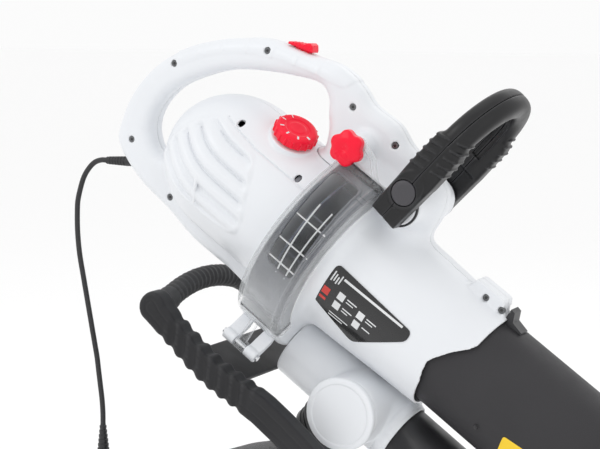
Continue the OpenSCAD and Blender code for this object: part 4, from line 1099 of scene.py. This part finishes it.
def dust_bag(cloth_mat, trim_mat):
    """A lofted bag blown up a little by the cloth solver, then shown as thin cloth."""
    mouth = mouth_of_bag()
    rings = []
    n, m = 56, 40
    spec = [(-0.012, 0, 0.058, 0.058), (0.02, -6, 0.064, 0.064), (0.045, -60, 0.13, 0.115),
            (0.085, -104, 0.16, 0.142), (0.31, -113, 0.186, 0.208), (0.6, -111, 0.198, 0.232),
            (0.85, -105, 0.172, 0.2), (0.965, -102, 0.12, 0.14), (0.985, -102, 0.06, 0.07)]
    keys = np.array([s[0] for s in spec])
    for t in np.linspace(spec[0][0], spec[-1][0], m):
        vals = [np.interp(t, keys, [s[i] for s in spec]) for i in (1, 2, 3)]
        a = np.arange(n) * 2 * math.pi / n
        c, s = np.cos(a), np.sin(a)
        p = 2.5
        r = (np.abs(c) ** p + np.abs(s) ** p) ** (-1 / p)
        x = mouth[0] + vals[0] / 1000 + vals[1] / 2 * c * r
        y = vals[2] / 2 * s * r
        z = np.full(n, mouth[2] - 0.008 - max(t, 0) * 0.4)
        if t < 0.06:
            lean = 1 - max(t, 0) / 0.06
            z = z - lean * (x - mouth[0]) * math.tan(math.radians(-5))
        rings.append(np.stack([x, y, z], -1))
    v = np.concatenate(rings)
    faces = [(i * n + j, i * n + (j + 1) % n, (i + 1) * n + (j + 1) % n, (i + 1) * n + j)
             for i in range(m - 1) for j in range(n)]
    faces.append(tuple((m - 1) * n + j for j in range(n)))
    faces.append(tuple(range(n))[::-1])
    obj = piece("dust_bag_cloth", v, faces, "blower", cloth_mat, ["dust_bag"], "bag_cloth", in_row=True)
    before = np.array([x.co[:] for x in obj.data.vertices])
    group = obj.vertex_groups.new(name="held")
    group.add(list(range(n * 3)), 1.0, "REPLACE")
    cloth = obj.modifiers.new("cloth", "CLOTH")
    s = cloth.settings
    s.quality, s.mass = 6, 0.25
    s.tension_stiffness = s.compression_stiffness = 18
    s.shear_stiffness, s.bending_stiffness = 6, 0.4
    s.vertex_group_mass = "held"
    s.use_pressure, s.uniform_pressure_force = True, 1.2
    s.shrink_min = -0.03
    s.effector_weights.gravity = 0.35
    scene = bpy.context.scene
    for frame_no in range(1, 21):
        scene.frame_set(frame_no)
    solved = obj.evaluated_get(bpy.context.evaluated_depsgraph_get()).to_mesh()
    after = np.array([x.co[:] for x in solved.vertices])
    obj.evaluated_get(bpy.context.evaluated_depsgraph_get()).to_mesh_clear()
    scene.frame_set(1)
    obj.modifiers.remove(cloth)
    obj.vertex_groups.remove(group)
    move = after - before
    size = np.linalg.norm(move, axis=1)[:, None]
    move *= np.minimum(1, 0.016 / np.maximum(size, 1e-9))
    low, high = np.array(CAD_BOX[0]), np.array(CAD_BOX[1])
    after = np.clip(before + move, low + 0.001, high - 0.001)
    obj.data.vertices.foreach_set("co", after.astype(np.float32).ravel())
    obj.data.update()
    fine = obj.modifiers.new("fine", "SUBSURF")
    fine.levels = fine.render_levels = 1
    # piping along the bag's two side seams
    co = np.array([x.co[:] for x in obj.data.vertices]).reshape(-1)[:m * n * 3].reshape(m, n, 3)
    parts = []
    for j in (n // 4, 3 * n // 4):
        parts.append(sweep(co[2:-1, j] * 1000, 1.6, 8, up=(1, 0, 0)))
    v, q = joined(*parts)
    piece("bag_piping", np.asarray(v) / 1000, q, "blower", trim_mat, (), "bag_cloth", in_row=True)


def cord_parts(rubber, relief_mat):
    pts = [(x / 1000, 0, z / 1000) for x, z in CORD]
    curve = bpy.data.curves.new("mains_lead", "CURVE")
    curve.dimensions = "3D"
    line = curve.splines.new("POLY")
    fine = spline(pts, 4)
    line.points.add(len(fine) - 1)
    for p, q in zip(line.points, fine):
        p.co = (*q, 1)
    curve.bevel_depth, curve.bevel_resolution, curve.use_fill_caps = 0.003, 5, True
    lead = bpy.data.objects.new("mains_lead", curve)
    bpy.context.scene.collection.objects.link(lead)
    curve.materials.append(rubber)
    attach(lead, "blower")
    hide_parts("mains_cord")
    # ribbed sleeve at the handle's heel
    line = [(3.05, 0), (4.0, 0), (4.2, 1)]
    for k in range(7):
        s = 2 + 3.8 * k
        line += [(3.7 + 0.16 * k, s), (3.7 + 0.16 * k, s + 1.0), (4.5 + 0.17 * k, s + 1.4),
                 (4.5 + 0.17 * k, s + 3.2)]
    line += [(5.4, 30), (5.4, 37.8), (3.05, 37.8)]
    v, q = lathe(line, (-171, 0, -118), (1, 0, 0), 40, True)
    piece("cord_relief", v / 1000, q, "blower", relief_mat, ["cord_sleeve"], "cord_rubber", in_row=True)
    # plug body with its ribbed relief
    rings = []
    for k in range(6):
        z = -419.5 - 5.2 * k
        r = 4.0 + 0.55 * k
        rings.append([(r - 0.9, z), (r - 0.9, z - 1.2), (r, z - 1.8), (r, z - 4.4)])
    tail = [(3.05, -419)] + [p for ring in rings for p in ring] + [(6.8, -451), (3.05, -451)]
    v1, q1 = lathe([(r, -z) for r, z in tail], (-182, 0, 0), (0, 0, -1), 40, True)
    f = Field((-17, -20, -42), (17, 20, 2), 0.8)
    width = np.interp(f.w, [-40, -34, -20, -6, 0], [1.0, 1.0, 0.86, 0.66, 0.42])
    shape = ((np.abs(f.u / (12.2 * width)) ** 2.8 + np.abs(f.y / (17 * width)) ** 2.8 + 1e-6) ** (1 / 2.8)
             - 1) * 11
    d = smax(shape, np.maximum(f.w, -40 - f.w), 2.4)
    for k in range(4):
        rib = np.maximum(np.abs(f.w + 13 + 3.6 * k) - 0.8, np.abs(f.y) - 9)
        d = smin(d, np.maximum(rib, d - 0.9), 0.5)
    v2, q2 = surface(f, d)
    v2 = v2 + np.array([-182, 0, -450.3])
    v, q = joined((v1, q1), (v2, q2))
    plug = piece("plug_shell", v / 1000, q, "blower", relief_mat, ["plug_body"], "cord_rubber", in_row=True)


def dress(mat, *nodes):
    """Gives CAD parts that stay visible a material."""
    for name in nodes:
        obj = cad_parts[name]
        obj.data.materials.clear()
        obj.data.materials.append(mat)


# ---------------------------------------------------------------- materials of the machine
def cloth_material():
    m = material("bag_weave", (0.022, 0.022, 0.025), 0.85, 0.12, wear=((0.06, 0.06, 0.065), 0.5, 0.56),
                 specular=0.25)
    m.shader.inputs["Sheen Weight"].default_value = 0.35
    m.shader.inputs["Sheen Roughness"].default_value = 0.5
    a = m.new("ShaderNodeTexWave", in_Scale=260.0, in_Distortion=0.4)
    b = m.new("ShaderNodeTexWave", in_Scale=260.0, in_Distortion=0.4, bands_direction="Z")
    m.link(m.place, a.inputs["Vector"])
    m.link(m.place, b.inputs["Vector"])
    both = m.new("ShaderNodeMath", operation="MULTIPLY")
    m.link(a.outputs["Fac"], both.inputs[0])
    m.link(b.outputs["Fac"], both.inputs[1])
    first = m.bump(both.outputs[0], 0.0006, 0.5)
    m.bump(m.noise(18, 4), 0.004, 0.5, first)
    return m.mat


def clear_material(name, tint, low, high, rough):
    """Clear plastic: seen through face on, and more solid towards its edges."""
    m = material(name, tint, rough, 0.05, coat=0.4, rough_span=0.03)
    edge = m.new("ShaderNodeLayerWeight", in_Blend=0.42)
    cloud = m.ramp(m.noise(22, 4), 0.4, 0.75, 0.0, 0.05)
    span = m.ramp(edge.outputs["Facing"], 0.05, 0.95, low, high)
    total = m.new("ShaderNodeMath", operation="ADD", use_clamp=True)
    m.link(span, total.inputs[0])
    m.link(cloud, total.inputs[1])
    m.link(total.outputs[0], m.shader.inputs["Alpha"])
    return m.mat


def interior_shade_material():
    # Dark colour of the wall inside the clear cover: painted shade for the inside of the volute.
    m = material("interior_shade_dark", (0.085, 0.092, 0.11), 0.2, 0.25, coat=0.6, big=30)
    return m.mat


def fan_material():
    m = material("fan_plastic", (0.010, 0.015, 0.035), 0.22, 0.3, wear=((0.08, 0.10, 0.16), 0.5, 0.6),
                 coat=0.5, big=35)
    return m.mat


def build():
    white = material("white_abs", (0.79, 0.81, 0.84), 0.34, 0.012, 1400, 0.00002,
                     wear=((0.88, 0.89, 0.90), 0.52, 0.62)).mat
    red = material("red_gloss", (0.90, 0.002, 0.030), 0.3, 0.05, wear=((0.94, 0.05, 0.09), 0.54, 0.64),
                   coat=0.15, specular=0.25).mat
    black = material("black_satin", (0.010, 0.010, 0.011), 0.36, 0.15, 1500, 0.00004,
                     wear=((0.035, 0.035, 0.038), 0.51, 0.58), rough_span=0.08, specular=0.35).mat
    frame_black = material("frame_matt", (0.018, 0.018, 0.020), 0.5, 0.15, 1300, 0.00006,
                           wear=((0.05, 0.05, 0.053), 0.51, 0.58), specular=0.3).mat
    tube = material("tube_textured", (0.034, 0.033, 0.036), 0.55, 0.08, 700, 0.00018,
                    wear=((0.07, 0.07, 0.07), 0.52, 0.6), specular=0.3).mat
    button = material("button_grey", (0.055, 0.053, 0.060), 0.45, 0.1,
                      wear=((0.12, 0.12, 0.13), 0.52, 0.6)).mat
    soft = material("grip_rubber", (0.030, 0.030, 0.032), 0.62, 0.15, 900, 0.0001,
                    wear=((0.08, 0.08, 0.082), 0.51, 0.58)).mat
    rubber = material("cord_pvc", (0.022, 0.022, 0.024), 0.48, 0.12, 1200, 0.00005).mat
    clear = clear_material("clear_cover", (0.78, 0.80, 0.82), 0.02, 0.62, 0.06)
    steel = material("plated_steel", (0.56, 0.57, 0.59), 0.28, 0.06, 1800, 0.00002, metallic=1.0,
                     wear=((0.75, 0.76, 0.78), 0.52, 0.6)).mat
    screw = material("screw_dark", (0.16, 0.165, 0.17), 0.4, 0.1, 1800, 0.00002, metallic=0.9).mat
    iron = material("laminations", (0.20, 0.20, 0.22), 0.5, 0.15, 900, 0.0001, metallic=0.8).mat
    copper = material("copper_wire", (0.72, 0.36, 0.16), 0.35, 0.12, 900, 0.0001, metallic=1.0).mat
    carbon = material("carbon_block", (0.03, 0.03, 0.032), 0.6, 0.1, 900, 0.0001).mat
    board = material("board_mask", (0.03, 0.20, 0.08), 0.4, 0.15, 700, 0.00005).mat
    alloy = material("pot_case", (0.6, 0.6, 0.62), 0.35, 0.06, 900, 0.00003, metallic=1.0).mat
    nickel = material("pin_nickel", (0.72, 0.68, 0.58), 0.25, 0.05, 900, 0.00002, metallic=1.0).mat
    tyre = material("tyre_rubber", (0.040, 0.040, 0.043), 0.6, 0.15, 900, 0.0001,
                    wear=((0.10, 0.10, 0.1), 0.5, 0.58)).mat
    # black for the rating plate, also used for the painted shade stars in the screw heads
    plate_and_shade_black = material("plate_and_recess_shade_black", (0.010, 0.010, 0.011), 0.25, 0.1, 900, 0.00002, coat=0.3).mat
    # white for print, also used for the painted highlight strips over the fan
    print_and_highlight = material("print_and_highlight_white", (0.72, 0.73, 0.74), 0.45, 0.06, 900, 0.00002).mat
    tint = material("print_red", (0.62, 0.05, 0.04), 0.45, 0.08, 900, 0.00002).mat
    yellow = material("sticker_yellow", (0.92, 0.62, 0.02), 0.42, 0.04, 900, 0.00003).mat
    # the first is a dark colour that paints shade inside the clear cover
    interior_shade, fan, weave = interior_shade_material(), fan_material(), cloth_material()

    for side in (-1, 1):
        body_shell(side, white)
        motor_cowl(side, white)
        duct_half(side, white)
    fan_cover(clear)
    hinge_mount(white)
    scroll_shade_liner(interior_shade, print_and_highlight)
    speed_dial(red, print_and_highlight)
    star_knob(red)
    slide_switch(red)
    front_handle(black)
    handle_button(button)
    pivot_rings(black, white)
    carry_frame(frame_black, soft)
    changeover_disc(white)
    suction_tubes(tube)
    blow_tubes(black)
    wheels(tyre)
    rating_plate(plate_and_shade_black, print_and_highlight, tint)
    tube_sticker(yellow)
    screw_recess_shade(plate_and_shade_black)
    bag_collar(black)
    dust_bag(weave, soft)
    cord_parts(rubber, rubber)
    dress(screw, "housing_screws")
    dress(steel, "motor_shaft", "motor_bearings", "impeller_nut", "cover_hinge_pin", "knob_bolt",
          "handle_bolt", "wheel_axle")
    dress(iron, "field_stack", "armature", "rear_bracket", "end_shield")
    dress(copper, "field_coils", "commutator", "brush_holders")
    dress(carbon, "carbon_brushes")
    dress(board, "control_board")
    dress(alloy, "dial_potentiometer")
    dress(nickel, "plug_pins")
    dress(black, "switch_body", "cooling_fan", "changeover_flap", "tube_catch", "wheel_bracket")
    dress(fan, "impeller")


build()
make_camera()
make_light()
make_floor()
